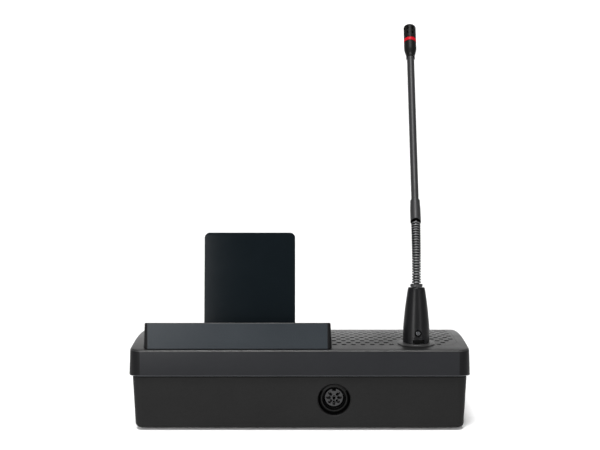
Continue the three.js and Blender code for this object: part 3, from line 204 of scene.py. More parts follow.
STATION_STEP, STATION_CLEAR = 2.5, 0.5
CORNER_CLEAR = 1.5  # stations keep this many corner radii off the ends of a side
STATION_SPAN = FRONT - CORNER_CLEAR * CORNER_RADIUS - DECK_BREAK
STATIONS = [DECK_BREAK + STATION_STEP * i for i in range(ceil(STATION_SPAN / STATION_STEP))]
COVER = dict(half=SIDE, rear=REAR, front=FRONT, radius=CORNER_RADIUS, stations=STATIONS)
SHELL = dict(COVER, stations=[])
TOWER = dict(
    x=TOWER_X, half=TOWER_WIDTH / 2, rear=TOWER_REAR, front=TOWER_FRONT, radius=TOWER_CORNER,
    stations=sorted([y for y in STATIONS if y < TOWER_FRONT - CORNER_CLEAR * TOWER_CORNER] + [STRIP_FRONT]),
)
CARD_Y = TOP_REAR + CARD_BACK
CARD_FRAME = move(TOWER_X + CARD_OFFSET, CARD_Y, strip_z(CARD_Y)) @ turn(-TOWER_SLOPE, "X")
WINDOW_WIDTH = TOWER_WIDTH - 2 * WINDOW_SIDE
WINDOW_LENGTH = (TOWER_FRONT - STRIP_FRONT) / cos(DISPLAY_SLOPE) - WINDOW_REAR - WINDOW_FRONT
DISPLAY_FRAME = (
    move(TOWER_X, STRIP_FRONT, strip_z(STRIP_FRONT)) @ turn(-DISPLAY_SLOPE, "X")
    @ move(0, WINDOW_REAR + WINDOW_LENGTH / 2, 0)
)
DIN_FRAME = move(DIN_X, REAR + SHELL_INSET + SHELL_TAPER / 2 + DIN_RECESS, DIN_Z) @ turn(QUARTER, "X")
CONTACT_FRAMES = [
    DIN_FRAME @ turn(radians(angle), "Z") @ move(radius, 0, 0)
    for radius, angle in [(0, 90)] + [(DIN_CIRCLE, angle) for angle in DIN_ANGLES]
]
SOCKET_FRAME = move(NECK_X, NECK_Y, DECK)
BOOT_FRAME = move(NECK_X, NECK_Y, DECK + PAD_PROUD)
KEY_FRAMES = [deck_frame(TOWER_X + (i - (KEYS - 1) / 2) * KEY_PITCH, KEY_Y) for i in range(KEYS)]
TALK_FRAME = deck_frame(TALK_X, KEY_Y)
FOOT_FRAMES = [move(x * (SIDE - FOOT_INSET), y * (FRONT - FOOT_INSET), 0) for y in (-1, 1) for x in (-1, 1)]
SCREW_YS = REAR + SCREW_INSET, FRONT - SCREW_FRONT_INSET
SCREW_FRAMES = [move(x * (SIDE - SCREW_INSET), y, 0) for x in (-1, 1) for y in SCREW_YS]

# Distances along the neck from its foot
COLLAR_START = BOOT_LENGTH + GAP
FLEX_START = COLLAR_START + COLLAR_LENGTH + LINK_GAP
FLEX_END = FLEX_START + FLEX_LENGTH
STEM_START = FLEX_END + FERRULE_LENGTH + GAP
HEAD_START = STEM_START + STEM_LENGTH + GAP
RING_START = HEAD_START + HEAD_LOWER + GAP
CAP_START = RING_START + RING_LENGTH + GAP


def neck_at(s):
    """The frame at a distance along the neck: straight, then a bend, then straight again."""
    bend = FLEX_LENGTH / (STEM_LEAN - BOOT_LEAN)
    first = min(s, FLEX_START)
    out, up, lean = first * sin(BOOT_LEAN), first * cos(BOOT_LEAN), BOOT_LEAN
    if s > FLEX_START:
        lean = BOOT_LEAN + min(1, (s - FLEX_START) / FLEX_LENGTH) * (STEM_LEAN - BOOT_LEAN)
        out += bend * (cos(BOOT_LEAN) - cos(lean))
        up += bend * (sin(lean) - sin(BOOT_LEAN))
    if s > FLEX_END:
        out += (s - FLEX_END) * sin(STEM_LEAN)
        up += (s - FLEX_END) * cos(STEM_LEAN)
    x, y = NECK_X + out * sin(NECK_TURN), NECK_Y + out * cos(NECK_TURN)
    return move(x, y, DECK + PAD_PROUD + up) @ turn(-NECK_TURN, "Z") @ turn(-lean, "X")


# Mesh code
def placed(name, data):
    thing = bpy.data.objects.new(name, data)
    scene.collection.objects.link(thing)
    return thing


def built(name, points, faces):
    mesh = bpy.data.meshes.new(name)
    mesh.from_pydata(points, [], faces)
    return placed(name, mesh)


def make(name, points, faces):
    return built(name, [(p[0] * METRE, p[1] * METRE, (p[2] + LIFT) * METRE) for p in points], faces)


def sweep(steps, end=QUARTER):
    return [i / steps * end for i in range(steps + 1)]


def bend(radius, steps):
    """How far each point of a rounded edge is from the two planes that the edge joins."""
    return [(radius * (1 - cos(a)), radius * (1 - sin(a))) for a in sweep(steps)]


def ease(t):
    """A soft step from 0 to 1."""
    return t * t * (3 - 2 * t)


def smooth(points, t):
    """The value at t of a smooth curve through (t, value) points."""
    last = len(points) - 1
    k = max(0, min(last - 1, sum(1 for s, _ in points if s <= t) - 1))
    before, start, end, after = [points[max(0, min(last, k + step))] for step in (-1, 0, 1, 2)]
    span = end[0] - start[0]
    u = (t - start[0]) / span
    slope_start = (end[1] - before[1]) / (end[0] - before[0])
    slope_end = (after[1] - start[1]) / (after[0] - start[0])
    return (
        (2 * u ** 3 - 3 * u ** 2 + 1) * start[1] + (u ** 3 - 2 * u ** 2 + u) * span * slope_start
        + (-2 * u ** 3 + 3 * u ** 2) * end[1] + (u ** 3 - u ** 2) * span * slope_end
    )


def skin(name, rings, loop=False):
    """A closed skin over rings of points. A single point closes an end, strips close an open end, and a loop
    joins its last ring to its first."""
    points, faces, starts = [], [], []
    sides = max(len(ring) for ring in rings)
    for ring in rings:
        starts.append(len(points))
        points.extend(ring)
    for lower, upper, a, b in zip(rings, rings[1:], starts, starts[1:]):
        for i in range(sides):
            j = (i + 1) % sides
            if len(lower) == 1:
                faces.append((a, b + j, b + i))
            elif len(upper) == 1:
                faces.append((a + i, a + j, b))
            else:
                faces.append((a + i, a + j, b + j, b + i))
    if loop:
        faces += [(starts[-1] + i, starts[-1] + (i + 1) % sides, (i + 1) % sides, i) for i in range(sides)]
    for start, ring, up in ((starts[0], rings[0], False), (starts[-1], rings[-1], True)):
        if len(ring) == 1 or loop:
            continue
        for i in range(sides // 2 - 1):
            a, b, c, d = start + i, start + i + 1, start + sides - 2 - i, start + sides - 1 - i
            faces.append((a, b, c, d) if up else (a, d, c, b))
    return make(name, points, faces)


def plan_ring(plan, z_at, inset=0.0, steps=CORNER):
    """A rounded rectangle seen from above, with a point at each station of its long sides."""
    r = max(plan["radius"] - inset, plan["radius"] / 4)
    half, rear, front = plan["half"], plan["rear"], plan["front"]

    def corner(y, first):
        angles = [first + a for a in sweep(steps)]
        return [(half - inset - r + r * cos(a), y + r * sin(a)) for a in angles]

    clear = CORNER_CLEAR * plan["radius"]
    side = [(half - inset, y) for y in plan["stations"] if rear + clear < y < front - clear]
    row = corner(rear + inset + r, -QUARTER) + side + corner(front - inset - r, 0)
    x = plan.get("x", 0)
    return [(x + a, y, z_at(y)) for a, y in row] + [(x - a, y, z_at(y)) for a, y in reversed(row)]


def rounded_top(plan, inset, radius, z_at):
    return [plan_ring(plan, lambda y: z_at(y) - down, inset + side) for side, down in bend(radius, EDGE)]


def revolve(name, profile, frame_at, sides=ROUND):
    """A round piece from (height, radius) pairs, about the frame at each height. Radius 0 closes an end."""
    rings = []
    loop = profile[0] == profile[-1]
    for height, radius in profile[:-1] if loop else profile:
        place = frame_at(height)
        if radius == 0:
            rings.append([place.translation])
            continue
        angles = [2 * pi * i / sides for i in range(sides)]
        rings.append([place @ Vector((radius * cos(a), radius * sin(a), 0)) for a in angles])
    return skin(name, rings, loop)


def turned(name, profile, place, sides=ROUND):
    return revolve(name, profile, lambda height: place @ move(0, 0, height), sides)


def rod(radius, low, high, place, sides=ROUND):
    return turned("tool", [(low, 0), (low, radius), (high, radius), (high, 0)], place, sides)


def on_neck(name, profile, sides=ROUND):
    return revolve(name, profile, neck_at, sides)


def slant(piece, start, length):
    """Cuts the lower mouth of a sleeve back on its rear side, by moving the points near its end along it."""
    ahead = (neck_at(start + length).translation - neck_at(start).translation).normalized()
    inverse = neck_at(start).inverted()
    for vertex in piece.data.vertices:
        local = inverse @ (vertex.co / METRE - Vector((0, 0, LIFT)))
        across = hypot(local.x, local.y)
        if local.z < length and across > ON_AXIS:
            rear = max(0.0, -local.y / across)
            share = (1 - max(0.0, local.z) / length) * rear ** SLANT_CURVE
            vertex.co += ahead * MOUTH_SLANT * share * METRE


def rounding(top, radius, edge, steps):
    """The rounded upper edge of a turned piece, as (height, radius) pairs."""
    return [(top - edge + edge * sin(a), radius - edge + edge * cos(a)) for a in sweep(steps)]


def crown(top, radius, rows=((BREAK, 0), (0, BREAK))):
    """An upper edge from rows of (distance below the top, distance inside the radius)."""
    return [(top - down, radius - inside) for down, inside in rows]


def slab(width, depth, radius, low, high, place, name="tool", edge=0, low_edge=0, steps=8):
    """A plate with rounded corners in plan and rounded upper and lower edges."""
    plan = dict(half=width / 2, rear=-depth / 2, front=depth / 2, radius=radius, stations=[])
    rows = [(low + up, inset) for up, inset in bend(low_edge, SMALL_EDGE)] if low_edge else [(low, 0)]
    rows += [(high - down, inset) for inset, down in bend(edge, SMALL_EDGE)] if edge else [(high, 0)]
    rings = [plan_ring(plan, lambda y: z, inset, steps) for z, inset in rows]
    return skin(name, [[place @ Vector(p) for p in ring] for ring in rings])


def block(width, depth, height, place, name="tool"):
    corners = [(x, y, z) for z in (-0.5, 0.5) for y in (-0.5, 0.5) for x in (-0.5, 0.5)]
    points = [place @ Vector((x * width, y * depth, z * height)) for x, y, z in corners]
    faces = [(0, 2, 3, 1), (4, 5, 7, 6), (0, 1, 5, 4), (2, 6, 7, 3), (0, 4, 6, 2), (1, 3, 7, 5)]
    return make(name, points, faces)


def strip(name, limits, low_at, high_at):
    """A panel between two heights that follow Y; limits lists (y, left, right)."""
    points, faces = [], []
    for y, left, right in limits:
        points += [(left, y, low_at(y)), (right, y, low_at(y)), (right, y, high_at(y)), (left, y, high_at(y))]
    for a in range(0, len(points) - 4, 4):
        for i in range(4):
            j = (i + 1) % 4
            faces.append((a + i, a + 4 + i, a + 4 + j, a + j))
    last = len(points) - 4
    faces += [(0, 1, 2, 3), (last + 3, last + 2, last + 1, last)]
    return make(name, points, faces)


def grille_limits(grow):
    """The grille's outline grown by a margin, as (y, left, right). Its corners on the right are rounded."""
    rear, front, radius = GRILLE_REAR - grow, GRILLE_FRONT + grow, GRILLE_RADIUS + grow
    left, right = GRILLE_LEFT - grow, GRILLE_RIGHT + grow
    rows = [(radius * (1 - cos(a)), right - radius + radius * sin(a)) for a in sweep(CORNER)]
    low, high = rear + radius + STATION_CLEAR, front - radius - STATION_CLEAR
    limits = [(rear + along, left, out) for along, out in rows]
    limits += [(y, left, right) for y in STATIONS if low < y < high]
    return limits + [(front - along, left, out) for along, out in reversed(rows)]


def joined(tools):
    """Several separate closed tools as one."""
    points, faces = [], []
    for tool in tools:
        start = len(points)
        points += [v.co.copy() for v in tool.data.vertices]
        faces += [tuple(start + v for v in polygon.vertices) for polygon in tool.data.polygons]
        bpy.data.objects.remove(tool)
    return built("tool", points, faces)


def settle(piece):
    """Makes a piece's modifiers part of its mesh."""
    bpy.context.view_layer.update()
    done = bpy.data.meshes.new_from_object(piece.evaluated_get(bpy.context.evaluated_depsgraph_get()))
    piece.modifiers.clear()
    piece.data = done


def cut(piece, tools, operation="DIFFERENCE"):
    """Cuts, joins or crosses a piece with its tools, which are then removed."""
    for tool in tools:
        step = piece.modifiers.new(operation.lower(), "BOOLEAN")
        step.operation = operation
        step.object = tool
        step.solver = "EXACT"
    settle(piece)
    for tool in tools:
        bpy.data.objects.remove(tool)
    mesh = bmesh.new()
    mesh.from_mesh(piece.data)
    bmesh.ops.remove_doubles(mesh, verts=mesh.verts, dist=SLIVER)
    bmesh.ops.dissolve_degenerate(mesh, edges=mesh.edges, dist=SLIVER)
    mesh.to_mesh(piece.data)
    mesh.free()


def soften(piece, width):
    step = piece.modifiers.new("edges", "BEVEL")
    step.width = width * METRE
    step.segments = BEVEL_STEPS
    step.limit_method = "ANGLE"
    step.angle_limit = BEVEL_ANGLE
    step.miter_outer = "MITER_ARC"
    settle(piece)


def faced(piece, material, chosen):
    """A further material on the chosen faces."""
    piece.data.materials.append(material)
    for face in piece.data.polygons:
        if chosen(face):
            face.material_index = len(piece.data.materials) - 1


def banded(piece, profile, material, chosen):
    """A further material on the chosen bands of a turned piece, each between two points of its profile."""
    bands = list(zip(profile, profile[1:]))
    sides = len(piece.data.polygons) // len(bands)
    faced(piece, material, lambda face: chosen(*bands[face.index // sides]))


def finish(piece, material, slot, *nodes, body="housing", angle=SHARP):
    mesh = piece.data
    mesh.polygons.foreach_set("use_smooth", [True] * len(mesh.polygons))
    mesh.set_sharp_from_angle(angle=angle)
    mesh.materials.clear()
    mesh.materials.append(material)
    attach(piece, body)
    if nodes:
        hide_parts(*nodes)


# Materials
NOISE_LOW, NOISE_HIGH = 0.3, 0.7  # the range in which nearly all of the noise lies
GRAIN_DEPTH = 0.00012  # metres


def put(node, **values):
    for name, value in values.items():
        node.inputs[name.replace("_", " ")].default_value = value


def shader(
    name, colour, rough, metal=0, level=0.5, spread=0.12, grain=2600, bump=0.5, patch=35, rough_spread=0.08,
    **values,
):
    """A moulded or coated surface: fine grain in its relief, slow drifts of tone and gloss."""
    material = bpy.data.materials.new(name)
    material.use_nodes = True
    nodes, wire = material.node_tree.nodes, material.node_tree.links.new
    surface = nodes["Principled BSDF"]
    put(surface, Metallic=metal, Specular_IOR_Level=level, **values)
    place = nodes.new("ShaderNodeTexCoord")

    def noise(scale, detail):
        node = nodes.new("ShaderNodeTexNoise")
        put(node, Scale=scale, Detail=detail)
        wire(place.outputs["Object"], node.inputs["Vector"])
        return node

    slow, fine = noise(patch, 3), noise(grain, 2)
    mix = nodes.new("ShaderNodeMix")
    mix.data_type = "FLOAT"
    mix.inputs[0].default_value = 0.5
    wire(slow.outputs["Fac"], mix.inputs[2])
    wire(fine.outputs["Fac"], mix.inputs[3])
    ramp = nodes.new("ShaderNodeValToRGB")
    dark, light = ramp.color_ramp.elements
    dark.position, light.position = NOISE_LOW, NOISE_HIGH
    dark.color = [c * (1 - spread) for c in colour] + [1]
    light.color = [min(1, c * (1 + spread)) for c in colour] + [1]
    wire(mix.outputs[0], ramp.inputs["Fac"])
    wire(ramp.outputs["Color"], surface.inputs["Base Color"])
    gloss = nodes.new("ShaderNodeMapRange")
    put(gloss, From_Min=NOISE_LOW, From_Max=NOISE_HIGH)
    put(gloss, To_Min=rough - rough_spread, To_Max=rough + rough_spread)
    wire(mix.outputs[0], gloss.inputs["Value"])
    wire(gloss.outputs["Result"], surface.inputs["Roughness"])
    relief = nodes.new("ShaderNodeBump")
    put(relief, Strength=bump, Distance=GRAIN_DEPTH)
    wire(fine.outputs["Fac"], relief.inputs["Height"])
    wire(relief.outputs["Normal"], surface.inputs["Normal"])
    return material


def tone(red, green, blue):
    """The linear colour of an sRGB one."""
    return [(c / 255 / 12.92) if c <= 10 else ((c / 255 + 0.055) / 1.055) ** 2.4 for c in (red, green, blue)]


cover_wall = shader("cover_wall", tone(17, 18, 21), 0.4, level=0.17, grain=2200, spread=0.1)
# Painted light: the tower's walls are the cover's plastic in a lighter tone
tower_wall_painted_light = shader("tower_wall_painted_light", tone(22, 28, 33), 0.38, level=0.24, grain=2200, spread=0.1)
# Painted shade: the side walls of the cover and tower get a darker copy of their plastic
side_wall_painted_shade = shader("side_wall_painted_shade", tone(12, 12, 13), 0.44, level=0.08, grain=2200, spread=0.1)
# Painted highlight: a light grey on the rim's lower lip
lip_painted_highlight = shader("lip_painted_highlight", tone(58, 60, 63), 0.4, level=0.3, bump=0.3, spread=0.1)
# Painted light: tops, the deck, the grille and the connector's upper slope get a lighter copy of the plastic
deck_painted_light = shader("deck_painted_light", tone(30, 30, 30), 0.38, level=0.34, grain=2400, bump=0.4)
# Painted light: the pad is the cover's plastic in a lighter tone
pad_painted_light = shader("pad_painted_light", tone(44, 44, 44), 0.38, level=0.34, grain=2400, bump=0.4)
shell_plastic = shader("shell_plastic", tone(27, 27, 27), 0.46, level=0.04, grain=1800)
boot_plastic = shader("boot_plastic", tone(17, 17, 18), 0.32, level=0.09, grain=3000, bump=0.2)
# The connector can's black, and painted shade where it lines the shell's recess
socket_black_and_recess_shade = shader("socket_black_and_recess_shade", tone(7, 7, 7), 0.5, level=0.06, bump=0.2)
insert_plastic = shader("insert_plastic", tone(41, 41, 42), 0.4, level=0.3, bump=0.4, spread=0.2)
dark_plastic = shader("dark_plastic", tone(18, 18, 19), 0.42, level=0.2, bump=0.3)
card_plastic = shader(
    "card_plastic", tone(10, 15, 18), 0.2, level=0.05, grain=5000, bump=0.06, spread=0.08, patch=60,
    rough_spread=0.03,
)
neck_metal = shader("neck_metal", tone(36, 36, 37), 0.46, 0.2, level=0.35, grain=3200, bump=0.06, spread=0.05)
rib_metal = shader(
    "rib_metal", tone(100, 100, 101), 0.3, 1.0, grain=3200, bump=0.1, spread=0.1, Specular_Tint=(0, 0, 0, 1),
)
# Painted shade: near-black for grooves, the insides of mouths and the latch in its notch
painted_shade_black = shader("painted_shade_black", tone(8, 8, 8), 0.7, level=0.05, grain=3000, bump=0.2)
head_metal = shader("head_metal", tone(13, 13, 12), 0.4, level=0.12, grain=3400, bump=0.35)
steel = shader("steel", tone(150, 152, 154), 0.3, 1.0, grain=4000, bump=0.1, spread=0.06)
dark_steel = shader("dark_steel", tone(78, 79, 81), 0.35, 0.9, grain=4000, bump=0.15)
contact_metal = shader("contact_metal", tone(112, 111, 109), 0.35, 1.0, grain=4000, bump=0.1)
rubber = shader("rubber", tone(22, 22, 22), 0.8, grain=1500)
board = shader("circuit_board", tone(26, 74, 46), 0.45, grain=900, bump=0.3, spread=0.25, patch=220)
paper = shader("cone_paper", tone(34, 33, 31), 0.9, grain=900, bump=0.8, spread=0.2)
key_plastic = shader("key_plastic", tone(176, 180, 184), 0.42, bump=0.25, spread=0.04)
glass = shader(
    "window_glass", tone(6, 8, 10), 0.06, grain=600, bump=0.01, spread=0.15, rough_spread=0.01,
    Coat_Weight=0.5,
)
ring_red = shader("ring_red", tone(158, 4, 22), 0.4, level=0.12, grain=1500, bump=0.1, spread=0.08)
frosted = shader(
    "frosted", tone(214, 218, 222), 0.45, grain=2000, bump=0.3, spread=0.04, Transmission_Weight=0.35,
)


# Housing
def top_cover():
    rings = [
        plan_ring(COVER, lambda y: deck_z(y) - COVER_WALL, COVER_WALL + COVER_TAPER),
        plan_ring(COVER, joint_z, COVER_WALL),
    ]
    for up, inset in bend(COVER_LIP, SMALL_EDGE):
        rings.append(plan_ring(COVER, lambda y: joint_z(y) + up, inset))
    cover = skin("cover_moulding", rings + rounded_top(COVER, COVER_TAPER, COVER_EDGE, deck_z))
    left, right = TOWER_LEFT + OPENING_INSET, TOWER_RIGHT - OPENING_RIGHT_INSET
    rear, front = TOWER_REAR + OPENING_INSET, TOWER_FRONT - OPENING_INSET
    middle = move((left + right) / 2, (rear + front) / 2, DECK)
    tools = [block(right - left, front - rear, 5 * PAST, middle)]
    for grow, depth in ((HAIRLINE, GRILLE_THICK + GAP), (-GRILLE_LEDGE, PAST)):
        limits = grille_limits(grow)
        tools.append(strip("tool", limits, lambda y: deck_z(y) - depth, lambda y: deck_z(y) + PAST))
    tools.append(rod(BARREL_RADIUS + GAP, -PAST, PAST, SOCKET_FRAME))
    width, depth = KEY_WIDTH + 2 * GAP, KEY_DEPTH + 2 * GAP
    tools += [slab(width, depth, KEY_RADIUS + GAP, -PAST, PAST, place) for place in KEY_FRAMES]
    tools.append(rod(TALK_RADIUS + TALK_RING + 2 * GAP, -PAST, PAST, TALK_FRAME))
    cut(cover, tools)
    finish(cover, cover_wall, "cover_plastic", "top_cover")
    # Painted shade on the side walls
    faced(cover, side_wall_painted_shade, lambda face: abs(face.normal.x) > SIDE_FACE)
    # Painted light on the deck and the rounded top edges
    faced(cover, deck_painted_light, lambda face: face.normal.z > TOP_FACE)
    # A painted highlight on the rim's lower lip
    faced(cover, lip_painted_highlight, lambda face: -UNDER_FACE < face.normal.z < -TOP_FACE)


def around_connector(face):
    """How far a face is from the connector's axis, if it is above it, and if it is behind the wall's face."""
    across, up = face.center.x / METRE - DIN_X, face.center.z / METRE - LIFT - DIN_Z
    reach = hypot(across, up)
    return reach, up > ABOVE * reach, face.center.y / METRE > REAR + SHELL_INSET + INSIDE_WALL


# Faces of the recess round the connector, which get painted shade
def painted_shade_in_recess(face):
    reach, above, inside = around_connector(face)
    if reach > DIN_HOLE + NEAR or above and reach > DIN_RING + NEAR:
        return False
    return abs(face.normal.y) < STEEP or inside and reach > DIN_RING + DOME_SIDE


# Faces of the dome's upper slope, which lies in shade, for a lighter plastic: painted light
def painted_light_on_slope(face):
    reach, above, inside = around_connector(face)
    on_dome = DIN_RING + DOME_SIDE < reach < DIN_HOLE - BARELY
    return on_dome and above and inside and abs(face.normal.y) < SLANTED


def bottom_shell():
    rings = []
    for z, inset in bend(SHELL_FOOT, EDGE):
        rings.append(plan_ring(SHELL, lambda y: z, SHELL_INSET + SHELL_TAPER + inset))
    for rise, inset in (
        (-JOINT_GAP - SHELL_BREAK, SHELL_INSET), (-JOINT_GAP, SHELL_INSET + SHELL_BREAK_IN),
        (-JOINT_GAP, COVER_WALL + GAP), (TONGUE, COVER_WALL + COVER_TAPER + GAP),
        (TONGUE, SHELL_INSET + SHELL_WALL),
    ):
        rings.append(plan_ring(SHELL, lambda y: joint_z(y) + rise, inset))
    rings.append(plan_ring(SHELL, lambda y: SHELL_FLOOR, SHELL_INSET + SHELL_TAPER + SHELL_WALL))
    shell = skin("shell_moulding", rings)
    mouth = DIN_RECESS - SHELL_TAPER / 2
    cut(shell, [rod(DIN_HOLE + DIN_CUP, -DIN_CUP, mouth - SHELL_WALL / 2, DIN_FRAME, FINE)], "UNION")
    wide = DIN_HOLE + RIM_OUT
    recess = turned("tool", [
        (0, 0), (0, DIN_HOLE), (mouth - RIM_LOW, DIN_HOLE), (mouth + RIM_HIGH, wide), (mouth + PAST, wide),
        (mouth + PAST, 0),
    ], DIN_FRAME, FINE)
    cut(shell, [recess])
    low, inner, outer = -DIN_CUP / 2, DIN_RING - DOME_IN, DIN_HOLE + DIN_CUP / 2
    dome = turned("tool", [
        (low, inner), (DOME_CREST - DOME_BREAK, inner), (DOME_CREST, DIN_RING + DOME_INNER),
        (DOME_CREST - DOME_BREAK, DIN_RING + DOME_OUTER),
        *[(DOME_CREST * share, DIN_RING + out) for share, out in DOME_SLOPE],
        (0, outer), (low, outer), (low, inner),
    ], DIN_FRAME, FINE)
    cut(shell, [dome], "UNION")
    key_place = DIN_FRAME @ move(0, DIN_SHELL + GAP, -PAST + DIN_KEY_RISE)
    tools = [
        rod(DIN_RING, -PAST, 2 * DOME_CREST, DIN_FRAME, FINE),
        block(DIN_KEY, 2 * DIN_RING, 2 * PAST, key_place),
    ]
    tools += [rod(FOOT_RADIUS + GAP, -PAST, FOOT_RECESS, place, SMALL) for place in FOOT_FRAMES]
    tools += [rod(COUNTERBORE, -PAST, COUNTERBORE_DEEP, place, SMALL) for place in SCREW_FRAMES]
    cut(shell, tools)
    finish(shell, shell_plastic, "shell_plastic", "bottom_shell")
    # Painted shade: the recess walls and the dome's outer side get near-black
    faced(shell, socket_black_and_recess_shade, painted_shade_in_recess)
    # Painted light on the dome's upper slope
    faced(shell, deck_painted_light, painted_light_on_slope)


def tower():
    def foot(y):
        return deck_z(y) + GAP

    rings = [
        plan_ring(TOWER, lambda y: tower_z(y) - TOWER_WALL, TOWER_WALL + TOWER_TAPER),
        plan_ring(TOWER, foot, TOWER_WALL),
        plan_ring(TOWER, foot, TOWER_BREAK),
        plan_ring(TOWER, lambda y: foot(y) + TOWER_BREAK, 0.0),
    ]
    shape = skin("tower_moulding", rings + rounded_top(TOWER, TOWER_TAPER, TOWER_EDGE, tower_z))
    width, thick = CARD_WIDTH + 2 * SLOT_CLEAR, CARD_THICK + 2 * SLOT_CLEAR
    tools = [
        slab(width, thick, SLOT_CORNER, -PAST, PAST, CARD_FRAME),
        slab(width + LEAD_WIDER, thick + LEAD_WIDER, LEAD_CORNER, -LEAD_DEEP, PAST, CARD_FRAME),
    ]
    for grow, low, high in ((GAP, -WINDOW_THICK - GAP, PAST), (-WINDOW_FRAME, -PAST, 0)):
        width, length = WINDOW_WIDTH + 2 * grow, WINDOW_LENGTH + 2 * grow
        tools.append(slab(width, length, WINDOW_RADIUS, low, high, DISPLAY_FRAME))
    cut(shape, tools)
    # The tower's walls get the lighter copy of the plastic: painted light
    finish(shape, tower_wall_painted_light, "cover_plastic", "card_reader_tower")
    # Painted shade on the tower's side walls
    faced(shape, side_wall_painted_shade, lambda face: abs(face.normal.x) > SIDE_FACE)
    # Painted light on the tower's top and rounded top edges
    faced(shape, deck_painted_light, lambda face: face.normal.z > TOP_FACE)


def grille_places():
    """The holes' places: staggered rows, clear of the rounded corners and of the microphone's pad."""
    row, y = 0, GRILLE_REAR + HOLE_MARGIN
    while y <= GRILLE_FRONT - HOLE_MARGIN:
        x = GRILLE_LEFT + HOLE_FIRST + (row % 2) * HOLE_PITCH / 2
        while x <= GRILLE_RIGHT - HOLE_MARGIN:
            beyond_x = max(0, x - (GRILLE_RIGHT - GRILLE_RADIUS))
            beyond_y = max(0, GRILLE_REAR + GRILLE_RADIUS - y, y - (GRILLE_FRONT - GRILLE_RADIUS))
            outside = beyond_x > 0 and hypot(beyond_x, beyond_y) > GRILLE_RADIUS - HOLE_MARGIN
            if not outside and hypot(x - NECK_X, y - NECK_Y) >= PAD_RADIUS + HOLE_RADIUS:
                yield x, y
            x += HOLE_PITCH
        row += 1
        y = GRILLE_REAR + HOLE_MARGIN + row * ROW_PITCH


def grille():
    panel = strip("grille_panel", grille_limits(0), lambda y: deck_z(y) - GRILLE_THICK, deck_z)
    low, wide = -2 * GRILLE_THICK, HOLE_RADIUS + 2 * HOLE_BREAK
    profile = [
        (low, 0), (low, HOLE_RADIUS), (-HOLE_BREAK, HOLE_RADIUS), (HOLE_BREAK, wide), (HOLE_PAST, wide),
        (HOLE_PAST, 0),
    ]
    holes = [turned("tool", profile, deck_frame(x, y), HOLE_SIDES) for x, y in grille_places()]
    cut(panel, [joined(holes), rod(BARREL_RADIUS + GAP, -PAST, PAST, SOCKET_FRAME)])
    # The grille gets the deck's lighter copy of the plastic: painted light
    finish(panel, deck_painted_light, "grille_plastic", "speaker_grille")
    top, low = -GRILLE_THICK - SEAT_CLEAR, -GRILLE_THICK - SEAT_DROP
    inner, outer = SPEAKER_RADIUS - SEAT_WIDTH, SPEAKER_RADIUS
    profile = [(top, inner), (low, inner), (low, outer), (top, outer), (top, inner)]
    seat = turned("grille_seat", profile, deck_frame(SPEAKER_X, SPEAKER_Y), FINE)
    finish(seat, deck_painted_light, "grille_plastic")


def window():
    pane = slab(
        WINDOW_WIDTH, WINDOW_LENGTH, WINDOW_RADIUS, -WINDOW_THICK, 0, DISPLAY_FRAME, "display_pane",
        edge=WINDOW_EDGE,
    )
    finish(pane, glass, "window_plastic", "display_window")


def card():
    place = CARD_FRAME @ move(0, 0, (2 * CARD_SHOWN - CARD_LENGTH) / 2) @ turn(QUARTER, "X")
    blank = slab(
        CARD_WIDTH, CARD_LENGTH, CARD_RADIUS, -CARD_THICK / 2, CARD_THICK / 2, place, "card_blank",
        edge=CARD_EDGE, low_edge=CARD_EDGE, steps=CARD_STEPS,
    )
    finish(blank, card_plastic, "card_plastic", "access_card", body="card", angle=CARD_SHARP)


# Round connector
def connector():
    barrel, bore = DIN_RING - GAP, DIN_RING - GAP - DIN_SHELL
    base = -GAP - DIN_INSERT_LENGTH
    low, body_top = base - GAP, -DIN_CUP - GAP
    can = turned("din_can", [
        (low - DIN_BODY_WALL, 0), (low - DIN_BODY_WALL, DIN_BODY), (body_top, DIN_BODY), (body_top, barrel),
        (-GAP - DIN_BREAK, barrel), (-GAP, barrel - DIN_BREAK), (-GAP, bore + DIN_BREAK),
        (-GAP - DIN_BREAK, bore), (low, bore), (low, 0),
    ], DIN_FRAME, FINE)
    cut(can, [block(DIN_KEY, barrel, -2 * body_top, DIN_FRAME @ move(0, barrel, 0))])
    finish(can, socket_black_and_recess_shade, "black_metal", "din_housing")
    flange = DIN_RING - DIN_SHELL - 2 * GAP
    core = turned("din_core", [
        (base, 0), (base, flange), (base + DIN_BASE, flange), (base + DIN_BASE, DIN_INSERT),
        (-GAP - INSERT_BREAK, DIN_INSERT), (-GAP, DIN_INSERT - INSERT_BREAK), (-GAP, 0),
    ], DIN_FRAME, FINE)
    size, low = (SLOT_LENGTH, SLOT_WIDTH, SLOT_WIDTH * SLOT_ROUND), -GAP - SLOT_DEPTH
    slots = [slab(*size, low, PAST, place, steps=SLOT_STEPS) for place in CONTACT_FRAMES]
    deep = DIN_KEY_DEEP + DIN_RING
    key_place = DIN_FRAME @ move(0, DIN_INSERT - DIN_KEY_DEEP + deep / 2, 0)
    cut(core, slots + [block(DIN_KEY, deep, 2 * SLOT_DEPTH, key_place)])
    finish(core, insert_plastic, "black_plastic", "din_insert")
    low, high = -SLOT_DEPTH, -SLOT_DEPTH + CONTACT_LENGTH
    profile = [
        (low, 0), (low, CONTACT_RADIUS), (high - CONTACT_TIP, CONTACT_RADIUS),
        (high, CONTACT_RADIUS - CONTACT_NARROW), (high, 0),
    ]
    for i, place in enumerate(CONTACT_FRAMES):
        pin = turned(f"din_spring_{i + 1}", profile, place @ move(CONTACT_OUT, 0, 0), TINY)
        finish(pin, contact_metal, "contact_metal", f"din_contact_{i + 1}")


